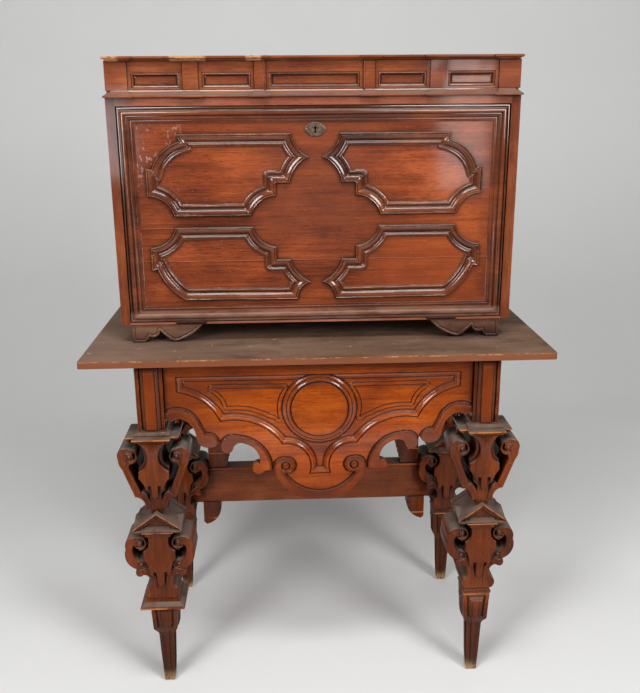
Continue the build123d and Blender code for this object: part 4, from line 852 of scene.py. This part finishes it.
def head_steps(spots, lift, steps):
    """Stepped head of a panel; each step is (foot, half width, rise) and leans back as it goes up."""
    for low, half, rise in steps:
        high = spots[:, 1] - low
        lift = np.where((high > 0) & (high < 5.5) & (np.abs(spots[:, 0]) < half), rise - high * 0.55, lift)
    return lift


def post_face():
    """Face of a post; its panel runs down behind the abacus."""
    frame_line = box_line(-POST_HALF, POST_HALF, ABACUS_TOP + 10, TABLE_UNDER)
    panel = box_line(-24.5, 24.5, ABACUS_TOP, 861)

    def height(spots):
        lift = panel_steps(depth_in(spots, panel))
        lift = head_steps(spots, lift, ((852, 19.5, 3.4), (846.5, 16.5, 4.6), (841, 13.5, 6.0)))
        return lift + 0.25 * ripple(spots, 60, 3)

    return relief([frame_line], height, -POST_HALF, FACE_BACK, step=1.5, rounding=1.0)


def leg_post(turns):
    core = POST_HALF - 7
    post = block(-core, core, -core, core, ABACUS_TOP, TABLE_UNDER, 1.0)
    face = post_face()
    for turn in QUARTERS:
        if turn in turns:
            post.join(face.turned(turn))
        else:
            post.join(block(-POST_HALF, POST_HALF, -POST_HALF, FACE_BACK, ABACUS_TOP, TABLE_UNDER).turned(turn))
    post.join(tower([(ABACUS_TOP, 84, 84), (ABACUS_TOP + 2, 83, 83), (ABACUS_TOP + 4, 74, 74),
                     (ABACUS_TOP + 9, 66, 66), (ABACUS_TOP + 11, 65, 65), (ABACUS_TOP + 11, 60, 60)]))
    for reach, low, high, edge in ((0, ABACUS_LOW + 5.5, ABACUS_TOP, 1.0), (4.5, ABACUS_LOW, ABACUS_LOW + 6, 1.6)):
        a, b = 62 - reach, 44 - reach
        cross = corners((-a, -b), (-b, -b), (-b, -a), (b, -a), (b, -b), (a, -b), (a, b), (b, b), (b, a), (-b, a),
                        (-b, b), (-a, b))
        layer = relief([cross], lambda spots: 0.3 * ripple(spots, 50, 5), 0, high - low, step=5.0, rounding=edge)
        post.join(Carving().add(layer.verts[:, [0, 2, 1]] * (1, 1, -1) + (0, 0, high), layer.faces))
    return post


def upper_core():
    return loop((0, ABACUS_LOW), (38, ABACUS_LOW), ((21, 640), (35, 609)), (37, 588), ((28, 574), (24, 552)),
                (14, 545), (14, EAVES), (0, EAVES))


UPPER_VOLUTE, UPPER_RADIUS = (55.0, 640.0), 18.0
LOWER_VOLUTE, LOWER_RADIUS = (47.0, 413.0), 17.0
LOWER_ROLL, ROLL_RADIUS = (46.0, 355.0), 13.0
KNOB, KNOB_RADIUS = (51.0, 333.0), 9.5


def soft_band(outline, rise=2.0, hollow=0.0):
    """Height of a scroll's flat face, rounded over with a slight hollow along its middle."""
    def height(spots):
        depth = depth_in(spots, outline)
        return dome(depth, 7.0, rise) - hollow * np.clip((depth - 4) / 4, 0, 1)
    return height


def fret(outline, height, step=1.8, rounding=FRET_ROUNDING, face=SCROLL_FACE):

    return relief([outline], height, -face, face, step, rounding, twin=True)


def volute(centre, radius, run, start, end, eye=0.30, step=1.5):
    """Round end of a scroll; its outline is drawn in steps of run."""
    return fret(ring(*centre, radius, run), rolled_end(centre, radius, start, end, eye), step, step)


def upper_scrolls():
    half = Carving()
    arm = loop(((76, 658), (82, 634)), ((80.5, 620), (75, 610)), (48, 535), (33, 548), (58, 613), (46, 652))
    small_foot = loop((31, 550), (49, 536), ((31, 527), (27, 504)), (12, 504), (12, 519), ((20, 540), (31, 550)))
    half.join(fret(arm, soft_band(arm, 1.2, 1.6), rounding=1.8))
    half.join(fret(small_foot, soft_band(small_foot, 1.5, 1.8), rounding=1.8, face=41.4))
    half.join(volute(UPPER_VOLUTE, UPPER_RADIUS, 1.6, -75, 300))
    whole = half.join(half.mirrored())
    core = both_sides(upper_core())
    whole.join(fret(core, soft_band(core, 0.0), rounding=1.5, face=CORE_FACE))
    web = corners((-70, 600), (-60, 679), (60, 679), (70, 600), (40, 545), (-40, 545))
    return whole.join(relief([web], plain, -WEB_HALF, WEB_HALF, step=WEB_STEP, rounding=0))


def lower_scrolls():
    half = Carving()
    band = loop(((75, 424), (81, 398)), ((76, 358), (48, 342)), (48, 367), ((60, 380), (62, 404)), (42, 429))
    hook = loop((10, LOWER_END), (10, 300), ((18, 335), (40, 348)), ((55, 347), (60.5, 334)), ((51, 324), (42, 327)),
                ((31, 322), (27, 311)), ((28, 299), (36, 290)), ((41, 275), (32, LOWER_END)), (10, LOWER_END))
    half.join(fret(band, soft_band(band, 3.4), rounding=2.4))
    half.join(fret(hook, soft_band(hook, 2.2, 1.4), rounding=2.0, face=41))
    half.join(volute(LOWER_VOLUTE, LOWER_RADIUS, 1.6, -75, 300, 0.4))
    half.join(volute(LOWER_ROLL, ROLL_RADIUS, 1.5, 75, -300, 0.4, 1.4))
    knob = ring(*KNOB, KNOB_RADIUS, 1.4)
    half.join(fret(knob, lambda spots: dome(depth_in(spots, knob), 8, 3.0), step=1.4, rounding=2.0))
    tie = box_line(20, 46, 347, 363)
    half.join(fret(tie, soft_band(tie, 0), rounding=1.5, face=40))
    whole = half.join(half.mirrored())
    core = both_sides(loop((0, LOWER_TOP), (30, LOWER_TOP), (24, 428), (24, 345), (12, 318), (12, LOWER_END),
                           (0, LOWER_END)))
    whole.join(fret(core, soft_band(core, 0.0), step=3.0, rounding=1.5, face=CORE_FACE))
    web = corners((-66, 432), (66, 432), (68, 385), (50, 350), (-50, 350), (-68, 385))
    return whole.join(relief([web], plain, -WEB_HALF, WEB_HALF, step=WEB_STEP, rounding=0))


FOOT_LEAN = 3.0 / (FOOT_TOP - FOOT_LOW)


def foot_face():
    """Outward face of the foot's block with a panel that narrows into a rib."""
    outline = corners((-FOOT_HALF, FOOT_LOW), (FOOT_HALF, FOOT_LOW), (33, FOOT_TOP), (-33, FOOT_TOP))
    panel = corners((-17, 160), (17, 160), (22, 232), (-22, 232))

    def height(spots):
        lift = panel_steps(depth_in(spots, panel)) * 0.8
        lift = head_steps(spots, lift, ((224, 17.5, 3.2), (218.5, 14.5, 5.0)))
        return lift + 0.25 * ripple(spots, 40, 9)
    face = relief([outline], height, 0, 8, step=1.6, rounding=1.2)
    face.verts[:, 1] -= FOOT_HALF + (face.verts[:, 2] - FOOT_LOW) * FOOT_LEAN
    return face


def foot():
    body = tower([(LOWER_END, 62, 62), (254, 62, 62), (250, 68, 68), (246, 70, 70), (244, 68, 68), (240, 66, 66),
                  (FOOT_TOP, 65, 65), (235, 54, 54), (171, 50, 50), (FOOT_LOW, 60, 60), (166, 59, 59), (160, 52, 52),
                  (152, 42, 42), (146, 37, 37), (80, 32.5, 32.5), (6, 26, 26), (3, 24, 24), (0, 18, 18)][::-1])
    face = foot_face()
    rib = tower([(172, 66, 17), (168, 64, 17), (160, 57, 15), (148, 43, 12), (110, 40, 10), (60, 36, 9), (12, 29, 8),
                 (9, 26, 6)][::-1])
    body.join(rib).join(rib.turned(90))
    for turn in QUARTERS:
        body.join(face.turned(turn))
    return body


def base_plate():
    return tower([(FOOT_TOP, 104, 104), (237.5, 108, 108), (242, 108, 108), (244, 106, 106), (246, 100, 100),
                  (252, 84, 84), (LOWER_END, 78, 78)])


def gable_cap():
    """Cross gable: rake mouldings, a sunk field on each side and a moulded ledge."""
    low = EAVES - 8
    outline = corners((-GABLE_HALF, low), (-GABLE_HALF + 9, low), (0, APEX - 13.5), (GABLE_HALF - 9, low),
                      (GABLE_HALF, low), (GABLE_HALF, EAVES), (0, APEX), (-GABLE_HALF, EAVES))
    rake = corners((-GABLE_HALF - 20, EAVES - 14.8), (0, APEX), (GABLE_HALF + 20, EAVES - 14.8))

    def height(spots):
        depth = distance(spots, rake, closed=False)
        return profile(depth, (0, 0), (2.4, 0), (3.2, -2.6), (5.8, -3.4), (6.6, -6.0), (12, -6.6))
    face = relief([outline], height, -GABLE_HALF, -GABLE_HALF + 18, step=1.5, rounding=0.7)
    field = corners((-GABLE_HALF + 9, low), (GABLE_HALF - 9, low), (0, APEX - 12))
    face.join(relief([field], lambda spots: 0.4 * ripple(spots, 30, 61), -GABLE_HALF + 14, -GABLE_HALF + 22,
                     step=5.0, rounding=0))
    roof = corners((-GABLE_HALF + 1, EAVES - 7.5), (-GABLE_HALF + 12, EAVES - 7.5), (0, APEX - 14),
                   (GABLE_HALF - 12, EAVES - 7.5), (GABLE_HALF - 1, EAVES - 7.5), (GABLE_HALF - 1, EAVES - 0.8),
                   (0, APEX - 0.8), (-GABLE_HALF + 1, EAVES - 0.8))
    prism = relief([roof], plain, -GABLE_HALF + 17, GABLE_HALF - 17, step=12.0, rounding=0)
    cap = block(-42, 42, -42, 42, EAVES - 14, EAVES + 4)
    low_face, low_prism = [Carving().add(one.verts * (1, 1, 0.4) + (0, 0, 0.6 * low), one.faces)
                           for one in (face, prism)]
    for turn, front in ((0, face), (180, face), (90, low_face), (270, low_face)):
        cap.join(front.turned(turn))
    cap.join(prism).join(low_prism.turned(90))
    return cap.join(tower([(437, 60, 107), (445, 61, 108), (445.5, 70, 112), (446.5, 74, 115), (448.6, 74, 115),
                           (449.6, 70, 112), (453, 64, 103), (460, 60, 92)]))


PLATE_PLANES = (-50.0, -42.0)                   # face and back of a tassel plate


def plate(outline, seed):
    def height(spots):
        return dome(depth_in(spots, outline), 12, 0.9) + 0.25 * ripple(spots, 45, seed)

    return relief([outline], height, *PLATE_PLANES, step=1.8, rounding=1.8)


def tassel_plates():
    upper = both_sides(loop((0, ABACUS_LOW), (40, ABACUS_LOW), ((12.5, 641), (35, 603)), (36, 587),
                            ((27, 574), (20, 557)), (14.5, 557), (14.5, 567), (8.5, 567), (7.5, 541), (0, 533)))
    lower = both_sides(loop((0, LOWER_TOP), (29, LOWER_TOP), ((24, 414), (38, 394)), (39, 374), (31, 363), (24, 330),
                            (16, 330), (16, 338), (10, 338), (8.5, 306), (0, 296)))
    plates = plate(upper, 11).join(plate(lower, 12))
    return plates.join(plates.turned(180))


def make_legs():
    scrolls, lower = upper_scrolls(), lower_scrolls().join(foot())
    cap, plates = gable_cap(), tassel_plates()
    for name, (side, end) in {"front_left": (-1, -1), "front_right": (1, -1), "back_left": (-1, 1),
                              "back_right": (1, 1)}.items():
        x, y = side * LEG_X, end * LEG_Y
        turns = (0 if end < 0 else 180, 90 if side > 0 else 270)
        leg_post(turns).moved(x, y).piece(f"{name}_post_carved", "leg_wood", ROOT, f"{name}_leg_post")
        scrolls.moved(x, y).piece(f"{name}_upper_scrolls_carved", "leg_wood", ROOT, f"{name}_leg_upper_scrolls")
        cap.moved(x, y).piece(f"{name}_gable_carved", "leg_wood", ROOT, f"{name}_leg_gable_cap")
        whole = Carving().join(lower)
        if name == "front_left":
            whole.join(base_plate())
        whole.moved(x, y).piece(f"{name}_lower_scrolls_carved", "leg_wood", ROOT, f"{name}_leg_lower_scrolls_and_foot")
        plates.moved(x, y).piece(f"{name}_plates_carved", "leg_plates", ROOT, f"{name}_leg_tassel_plates")


# ---------------------------------------------------------------- the aprons
APRON_BOARD = 24.0
APRON_BACK = APRON_FACE + APRON_BOARD
CIRCLE = (0.0, 740.0)
APRON_STEP = 2.0
STRAP_PROFILE = ((-3.6, 0), (-2.4, -2.0), (-0.5, -2.2), (0.2, 2.6), (1.2, 4.6), (2.6, 4.8), (3.8, 3.4), (6, 2.6),
                 (60, 3.0))
SUNK_PROFILE = ((0, 0), (0.6, -2.8), (1.4, -3.0), (2.2, -0.8), (3.2, 0.2), (4.6, -0.2), (6.6, -1.3), (9.0, -3.0),
                (10.0, -4.8), (11.2, -5.0), (12.6, -6.2), (14, -8.6), (15.2, -10.6), (16.4, -9.4), (18, -9.0))
FIELD_PROFILE = ((-11.5, 0), (-10.2, -2.2), (-8.8, 0.6), (-1.8, 0.6), (-0.5, -2.2), (0.8, 0))
BOSS_PROFILE = ((0, 0), (66.2, 0), (67.0, -2.6), (68.0, -2.6), (69.0, 0.4), (70.2, 2.6), (71.4, 3.0), (73.0, 2.3),
                (76.4, 0.1), (77.2, -1.8), (78.0, -3.6), (79.2, -2.8), (83, -4.4), (86.6, -7.0), (87.4, -10.4),
                (88.6, -10.8), (89.5, -9.0))
BOSS_RADIUS = BOSS_PROFILE[-1][0]
WIDE_CURL = 16


def strap_height(spots, lift, straps, knobs):
    """Lay straps over a board; a knob is the rolled end of the strap that it touches."""
    one_side = np.abs(spots)
    depth = np.full(len(spots), -99.0)
    for strap in straps:
        depth = np.maximum(depth, depth_in(one_side, strap))
    curl = 0.0
    for x, z, radius in knobs:
        reach = np.hypot(one_side[:, 0] - x, one_side[:, 1] - z)
        depth = np.maximum(depth, radius - reach)
        if radius > WIDE_CURL:
            curl = curl - 4.2 * np.exp(-((reach - radius * 0.52) / 1.5) ** 2) + 1.4 * dome(9 - reach, 9, 1.0)
    return np.where(depth > STRAP_PROFILE[0][0], profile(depth, *STRAP_PROFILE), lift) + curl


def front_apron():
    half = loop((0, 510), ((56, 521), (97, 560)), ((105, 575), (107, 588)), (119, 588), (134, 586),
                ((161, 591), (143, 606)), ((150, 637), (178, 657)), ((192, 659), (205, 648)),
                ((219, 634), (233, 650)), (238, 665), (241, 661), ((247, 653), (256, 650)), ((279, 654), (291, 676)),
                ((305, 711), (331, 726)), (346, 717), (360.5, 724), (360.5, TABLE_UNDER), (0, TABLE_UNDER))
    outline = both_sides(half)
    panel = both_sides(loop((0, 827), (332, 827), (332, 788), ((275, 765), (233, 713)), ((158, 708), (88, 652)),
                            ((43, 640), (27, 575)), (0, 575)))
    field = loop((82, 791), (250, 793), ((228, 775), (216, 749)), ((164, 746), (116, 727)), ((103, 722), (96, 716)),
                 ((99, 752), (82, 791)))
    strap_1 = loop((364, 738), (353, 747), ((311, 745), (283, 714)), (269, 685), ((248, 680), (239, 661)), (234, 640),
                   (300, 636), (330, 700), (364, 700))
    strap_2 = loop(((226, 672), (198, 678)), ((143, 655), (114, 591)), (117, 582), (125, 566), (170, 566), (170, 600),
                   (172, 630), (185, 640), (200, 626), (240, 630), start=(236, 648))
    strap_3 = loop(((0, 530), (48, 543)), ((70, 560), (87, 582)), ((60, 592), (80, 618)), ((103, 612), (110, 588)),
                   (124, 560), (60, 490), (-48, 490), start=(-48, 543))

    def height(spots):
        inner = depth_in(spots, panel)
        sunk = profile(inner, *SUNK_PROFILE) + profile(depth_in(np.abs(spots), field), *FIELD_PROFILE)
        reach = np.hypot(spots[:, 0] - CIRCLE[0], spots[:, 1] - CIRCLE[1])
        boss = profile(reach, *BOSS_PROFILE)
        lift = np.where(inner > 0, np.where(reach < BOSS_RADIUS, boss, sunk), 0.0)
        lift = strap_height(spots, lift, (strap_1, strap_2, strap_3),
                            ((255, 665, 15), (219, 649, 14.5), (147, 592, 14), (82, 597, 18)))
        return lift + 0.3 * ripple(spots, 130, 17)
    creases = [offset_spots(panel, [s[0] for s in SUNK_PROFILE[1:]], APRON_STEP)]
    creases += [offset_spots(field, [s[0] for s in FIELD_PROFILE], APRON_STEP) * side for side in ((1, 1), (-1, 1))]
    creases += [np.array([(CIRCLE[0] + reach * math.sin(turn), CIRCLE[1] + reach * math.cos(turn))
                          for turn in np.arange(0, math.tau, APRON_STEP / reach)]) for reach, rise in BOSS_PROFILE[1:]]

    return relief([outline], height, APRON_FACE, APRON_BACK, APRON_STEP, rounding=1.4, creases=creases)


def side_apron():
    end = LEG_Y - POST_HALF
    half = loop((0, 612), ((40, 618), (72, 652)), (78, 652), ((84, 650.5), (94, 652)), ((112, 664), (118, 686)),
                ((132, 713), (155, 726)), (171, 716), (end, 724), (end, TABLE_UNDER), (0, TABLE_UNDER))
    strap = loop((end + 4, 738), (end - 8, 747), ((end - 49, 745), (end - 77, 714)), (end - 91, 685),
                 ((end - 113, 680), (end - 121, 661)), (60, 640), (124, 636), (154, 700), (end + 4, 700))
    middle = loop(((0, 634), (60, 655)), (72, 672), (90, 660), (80, 600), (-80, 600), (-90, 660), (-72, 672),
                  start=(-60, 655))

    def height(spots):
        lift = strap_height(spots, np.zeros(len(spots)), (strap, middle), ((end - 105, 666, 15),))
        return lift + 0.3 * ripple(spots, 110, 23)
    board = relief([both_sides(half)], height, 0, APRON_BOARD, step=2.4, rounding=1.4)
    return board.turned(90).moved(LEG_X + POST_HALF - APRON_BOARD / 2)


def make_aprons():
    front_apron().piece("front_apron_carved", "apron_wood", ROOT, "front_apron")
    side_apron().pair(("right", "left"), "{}_apron_carved", "apron_wood", ROOT, "{}_apron")


# ---------------------------------------------------------------- the fall front
BAND = ((0, 4.2), (0.8, 6.8), (2.0, 7.8), (3.2, 7.4), (4.0, 5.8), (4.8, 5.6), (5.6, 6.6), (7.0, 6.6), (11.6, 4.8),
        (14.2, 2.9), (16, 1.2), (17.2, 0.5), (18.4, 0.9), (20.5, 2.8), (22.6, 4.6), (24.2, 5.0), (25.6, 4.2),
        (26.4, 2.6), (27.2, 2.2), (28.8, 1.9), (29.6, -1.5), (33, -1.5))
BAND_REACH = 40                                 # past the band's last station, also where corners are mitred


def shaped_moulding(outline):
    def height(spots):
        return profile(depth_in(spots, outline), *BAND) + 0.15 * ripple(spots, 70, 31)
    rows = [s[0] for s in BAND[1:-1]]
    board = relief([outline], height, FIELD_Y, FIELD_Y + 3, step=1.7, rounding=0.0, rows=rows, reach=BAND_REACH)
    return without_back(board, len(board.verts) // 2)


def upper_shape():
    return loop((55.5, 1365), (313, 1365), (308, 1349), ((350, 1324), (373, 1287)), (386, 1290), (386, 1226),
                ((342, 1208), (327, 1180)), (150, 1180), ((133, 1208), (92, 1225)), (92, 1254), (59, 1254),
                ((44, 1290), (14, 1312)), ((40, 1331), (55.5, 1365)))


def lower_shape():
    return loop((146, 1155), (326, 1155), ((343, 1126), (385, 1109)), (386, 1054), (372, 1057),
                ((348, 1016), (310, 983)), (44, 981), ((37, 1007), (12, 1022)), ((42, 1044), (60, 1077)), (93, 1077),
                (93, 1108), ((131, 1125), (146, 1155)))


FRAME_STATIONS = ((0, 0), (0, 2.6), (1.2, 3.6), (4.4, 3.6), (5.2, 1.8), (6.4, 1.8), (7.2, 5.6), (8.6, 9.0),
                  (11.0, 11.2), (13.8, 11.9), (16.4, 11.2), (18.2, 9.0), (19.0, 6.4), (19.6, 5.0), (21.0, 5.4),
                  (22.4, 4.9), (24.2, 3.2), (26.6, 2.0), (28.4, 1.6), (29.2, 2.8), (30.2, 3.2), (31.6, 3.0),
                  (32.6, 1.5), (36.2, 1.2), (37.0, 0.7), (37.4, -1.0))


def escutcheon():
    plate_line = loop(((0, KEYHOLE + 16.5), (26, KEYHOLE)), ((0, KEYHOLE - 16.5), (-26, KEYHOLE)))
    hole = loop(((0, KEYHOLE + 6), (-1.5, KEYHOLE)), (-2.2, KEYHOLE - 9), (2.2, KEYHOLE - 9), (1.5, KEYHOLE))

    def height(spots):
        return dome(depth_in(spots, plate_line), 5, 1.0)

    return relief([plate_line, hole], height, FIELD_Y - 1.0, FIELD_Y, step=1.0, rounding=0.7)


def nail(x, radius):
    """Round nail head on the escutcheon."""
    face_y = FIELD_Y - 2.0
    head = ring(x, KEYHOLE, radius, radius * 0.4)
    return relief([head], lambda spots: dome(depth_in(spots, head), radius, radius * 0.7), face_y, face_y + 1,
                  step=radius * 0.3, rounding=0)


def make_fall():
    for level, shape in (("upper", upper_shape()), ("lower", lower_shape())):
        shaped_moulding(shape).pair(("right", "left"), level + "_{}_moulding_carved", "fall_moulding", "fall_front",
                                    level + "_{}_shaped_moulding")
    swept_frame(FALL_HALF, FALL_LOW, FALL_HIGH, FIELD_Y, FRAME_STATIONS).piece(
        "fall_frame_carved", "fall_moulding", "fall_front", "fall_frame_moulding", sharp=FRAME_ANGLE)
    escutcheon().piece("escutcheon_plate", "escutcheon_iron", "fall_front", "escutcheon")
    nail(-19, 2.0).piece("escutcheon_nail_left", "nail_brass", "fall_front")
    nail(19, 1.6).piece("escutcheon_nail_right", "escutcheon_iron", "fall_front")


def case_foot():
    """Left-hand front foot: square pad, notch, curl and a rising S curve, with a line cut along its edge."""
    out, low, top = 442.0, TABLE_TOP, CASE_UNDER
    shape = loop((out, top), (out, low), (out - 31, low), (out - 40, low + 14),
                 ((out - 57, low + 14), (out - 66, low + 28)), ((out - 82, low + 12), (out - 100, low + 1)),
                 ((out - 134, low + 14), (out - 170, top)))

    def height(spots):
        depth = depth_in(spots, shape)
        lower = spots[:, 1] < top - 7
        line_cut = -1.6 * np.exp(-((depth - 6.5) / 1.1) ** 2) * lower
        return line_cut + 0.3 * ripple(spots, 40, 41)

    front, thick = -126.0, 22.0
    return relief([shape[::-1]], height, front, front + thick, step=1.6, rounding=1.6).mirrored()


# ---------------------------------------------------------------- the case's frieze, ledge and cornice
SUNK_COFFER = ((0, 0), (0.3, -1.8), (1.2, -2.4), (2.0, -1.2), (3.4, -1.0), (4.4, -2.2), (5.4, -5.2), (6.4, -7.6),
               (7.4, -7.8), (8.2, -6.8), (60, -6.8))
LEDGE = ((4, 1444), (10.4, 1444), (11.6, 1445.2), (12, 1446.4), (11.6, 1447.6), (9.4, 1449.2), (8.6, 1449.4),
         (4.2, 1453.2), (1.6, 1456.6), (0, 1459.2), (-6, 1459.2))
CORNICE = ((0, 1520), (3, 1521.6), (4.6, 1522.0), (6.4, 1524.0), (9.6, 1525.0), (11.0, 1525.6), (12, 1526.4),
           (12, 1529.6), (11, 1530.8), (-14, 1531))
RETURN, BREAK = 19.0, 6.0                       # length of an end's return, step forward over a pilaster
FRIEZE_END, LEDGE_END, CORNICE_END = 463.0, 457.5, 454.5
COFFER_LOW, COFFER_HIGH = 1463.5, 1496.5
PILASTER_RISE = 3.0


def frieze_length(x0, x1, spans, back, low=LEDGE_TOP):
    """Length of the frieze; between its pilasters are sunk coffers in flat frames."""
    panels = [box_line(a + 8, b - 8, COFFER_LOW, COFFER_HIGH) for a, b in spans]
    lines = []
    for a, b in spans:
        lines += [np.array([(x, z) for z in (low + 1, FRIEZE_TOP - 1)]) for x in (a - 0.2, a + 0.3, b - 0.3, b + 0.2)]

    def height(spots):
        lift = np.full(len(spots), PILASTER_RISE)
        for (a, b), panel in zip(spans, panels):
            between = (spots[:, 0] > a) & (spots[:, 0] < b)
            lift = np.where(between, -0.5 + profile(depth_in(spots, panel), *SUNK_COFFER), lift)
        return lift + 0.2 * ripple(spots, 60, 51)

    return relief([box_line(x0, x1, low, FRIEZE_TOP)], height, FRIEZE_FACE, back, step=1.5, rounding=0.6,
                  lines=lines)


def stepped_path(x0, x1, breaks):
    """Plan line that returns at its left end and steps forward over each pilaster."""
    path = [(x0, -RETURN), (x0, 0.0)]
    for a, b in sorted(breaks):
        path += [(a, 0.0), (a, BREAK), (b, BREAK), (b, 0.0)]
    return path + [(x1, 0.0)]


def make_frieze():
    outer, middle, inner = PILASTERS
    spans = [(-outer[0], -middle[1]), (-middle[0], -inner[1])]
    frieze_length(-FRIEZE_END, -SECTION_END, spans, FRIEZE_BACK).pair(
        ("left", "right"), "frieze_{}_carved", "case_moulding", ROOT, "frieze_{}_section")
    breaks = [span for a, b in PILASTERS for span in ((-b, -a), (a, b))]
    path = stepped_path(-LEDGE_END, LEDGE_END, breaks) + [(LEDGE_END, -RETURN)]
    run_of_moulding(path, LEDGE, FRIEZE_FACE).piece("ledge_moulding_run", "case_moulding", ROOT, "ledge_moulding",
                                                    sharp=RUN_ANGLE)
    left_breaks = [(max(a - 2, 1 - CORNICE_END), min(b + 2, -SECTION_END - 0.3)) for a, b in breaks if b < 0]
    left = run_of_moulding(stepped_path(-CORNICE_END, -SECTION_END, left_breaks), CORNICE, FRIEZE_FACE)
    left.join(block(-FRIEZE_END - 1, -SECTION_END, -112, -104.2, FRIEZE_TOP, CORNICE_TOP - 0.2))
    left.join(left.mirrored()).piece("cornice_run", "cornice_wood", ROOT, "cornice", sharp=RUN_ANGLE)
    drawer = frieze_length(-DRAWER_HALF, DRAWER_HALF, [(-109, 109)], FRIEZE_BACK - 0.8, LEDGE_TOP + 0.4)
    drawer.join(run_of_moulding([(-DRAWER_HALF, 0), (DRAWER_HALF, 0)], CORNICE, FRIEZE_FACE))
    drawer.join(block(-DRAWER_HALF, DRAWER_HALF, -112, -104.8, FRIEZE_TOP, CORNICE_TOP - 0.2))
    drawer.piece("frieze_drawer_front_carved", "case_moulding", "frieze_drawer", "frieze_drawer_front", sharp=RUN_ANGLE)


def make_case_trim():
    case_foot().pair(("left", "right"), "front_{}_case_foot_carved", "foot_wood", ROOT, "front_{}_case_foot")


# ---------------------------------------------------------------- floor, light and camera
def pale_floor():
    p = Paint("studio_floor")
    speck = p.noise(3.0, 3.0)
    colour = p.mix((0.76, 0.76, 0.755), (0.80, 0.80, 0.795), speck)
    material = p.finish(colour, 0.9, None)
    mesh = bpy.data.meshes.new("studio_floor")
    bend, near, deep, wide, high = 1.0, -1.9, 2.6, 7.0, 5.0
    rows = [(near, 0.0)]
    rows += [(deep - bend + bend * math.sin(a), bend - bend * math.cos(a)) for a in np.linspace(0, math.pi / 2, 24)]
    rows.append((deep, high))
    verts = [(x, y, z) for y, z in rows for x in (-wide, wide)]
    faces = [(2 * i, 2 * i + 1, 2 * i + 3, 2 * i + 2) for i in range(len(rows) - 1)]
    mesh.from_pydata(verts, [], faces)
    mesh.shade_smooth()
    mesh.materials.append(material)
    floor = bpy.data.objects.new("studio_floor", mesh)
    bpy.context.collection.objects.link(floor)


# Name, place, the point it is aimed at, width, height and power in watts.
LAMPS = (("key_left", (-1.9, -2.9, 2.55), (0, 0, 0.85), 1.1, 1.2, 68),
         ("key_right", (2.0, -2.7, 2.35), (0, 0, 0.85), 1.0, 1.2, 64),
         ("top_soft", (0.0, -1.3, 3.5), (0, 0, 0.8), 1.8, 0.6, 52),
         ("sheen_right", (0.93, -2.9, 1.30), (0.3, 0, 1.3), 0.26, 0.70, 2.8),
         ("sheen_left", (-1.05, -2.9, 1.24), (-0.3, 0, 1.3), 0.3, 0.4, 3.0))
AMBIENT = 0.15


def lamp(name, place, aim, width, height, power):
    data = bpy.data.lights.new(name, "AREA")
    data.shape = "RECTANGLE"
    data.size, data.size_y = width, height
    data.energy = power
    light = bpy.data.objects.new(name, data)
    light.location = place
    light.rotation_euler = (Vector(aim) - Vector(place)).to_track_quat("-Z", "Y").to_euler()
    bpy.context.collection.objects.link(light)


def studio_light():
    world = bpy.data.worlds.new("studio")
    world.use_nodes = True
    background = world.node_tree.nodes["Background"]
    background.inputs["Color"].default_value = (1.0, 1.0, 1.0, 1.0)
    background.inputs["Strength"].default_value = AMBIENT
    bpy.context.scene.world = world
    for row in LAMPS:
        lamp(*row)


EYE = Vector((-0.0771, -2.0765, 1.4355))
PITCH, YAW, ROLL = 0.286, 0.043, 0.008
FOCAL_PIXELS, SENSOR = 837.3, 36.0


def place_camera():
    ahead = Vector((math.sin(YAW) * math.cos(PITCH), math.cos(YAW) * math.cos(PITCH), -math.sin(PITCH)))
    right = Vector((math.cos(YAW), -math.sin(YAW), 0.0))
    down = ahead.cross(right)
    right_rolled = right * math.cos(ROLL) + down * math.sin(ROLL)
    down_rolled = down * math.cos(ROLL) - right * math.sin(ROLL)
    data = bpy.data.cameras.new("camera")
    data.sensor_fit = "VERTICAL"
    data.sensor_height = SENSOR
    data.lens = FOCAL_PIXELS * SENSOR / IMAGE_HEIGHT
    camera = bpy.data.objects.new("camera", data)
    matrix = Matrix((right_rolled, -down_rolled, -ahead)).transposed().to_4x4()
    matrix.translation = EYE
    camera.matrix_world = matrix
    bpy.context.collection.objects.link(camera)
    bpy.context.scene.camera = camera


# ---------------------------------------------------------------- making
place_camera()
studio_light()
pale_floor()
dress_frame()
make_legs()
make_aprons()
make_fall()
make_case_trim()
make_frieze()

bpy.context.scene.view_settings.view_transform = "Standard"
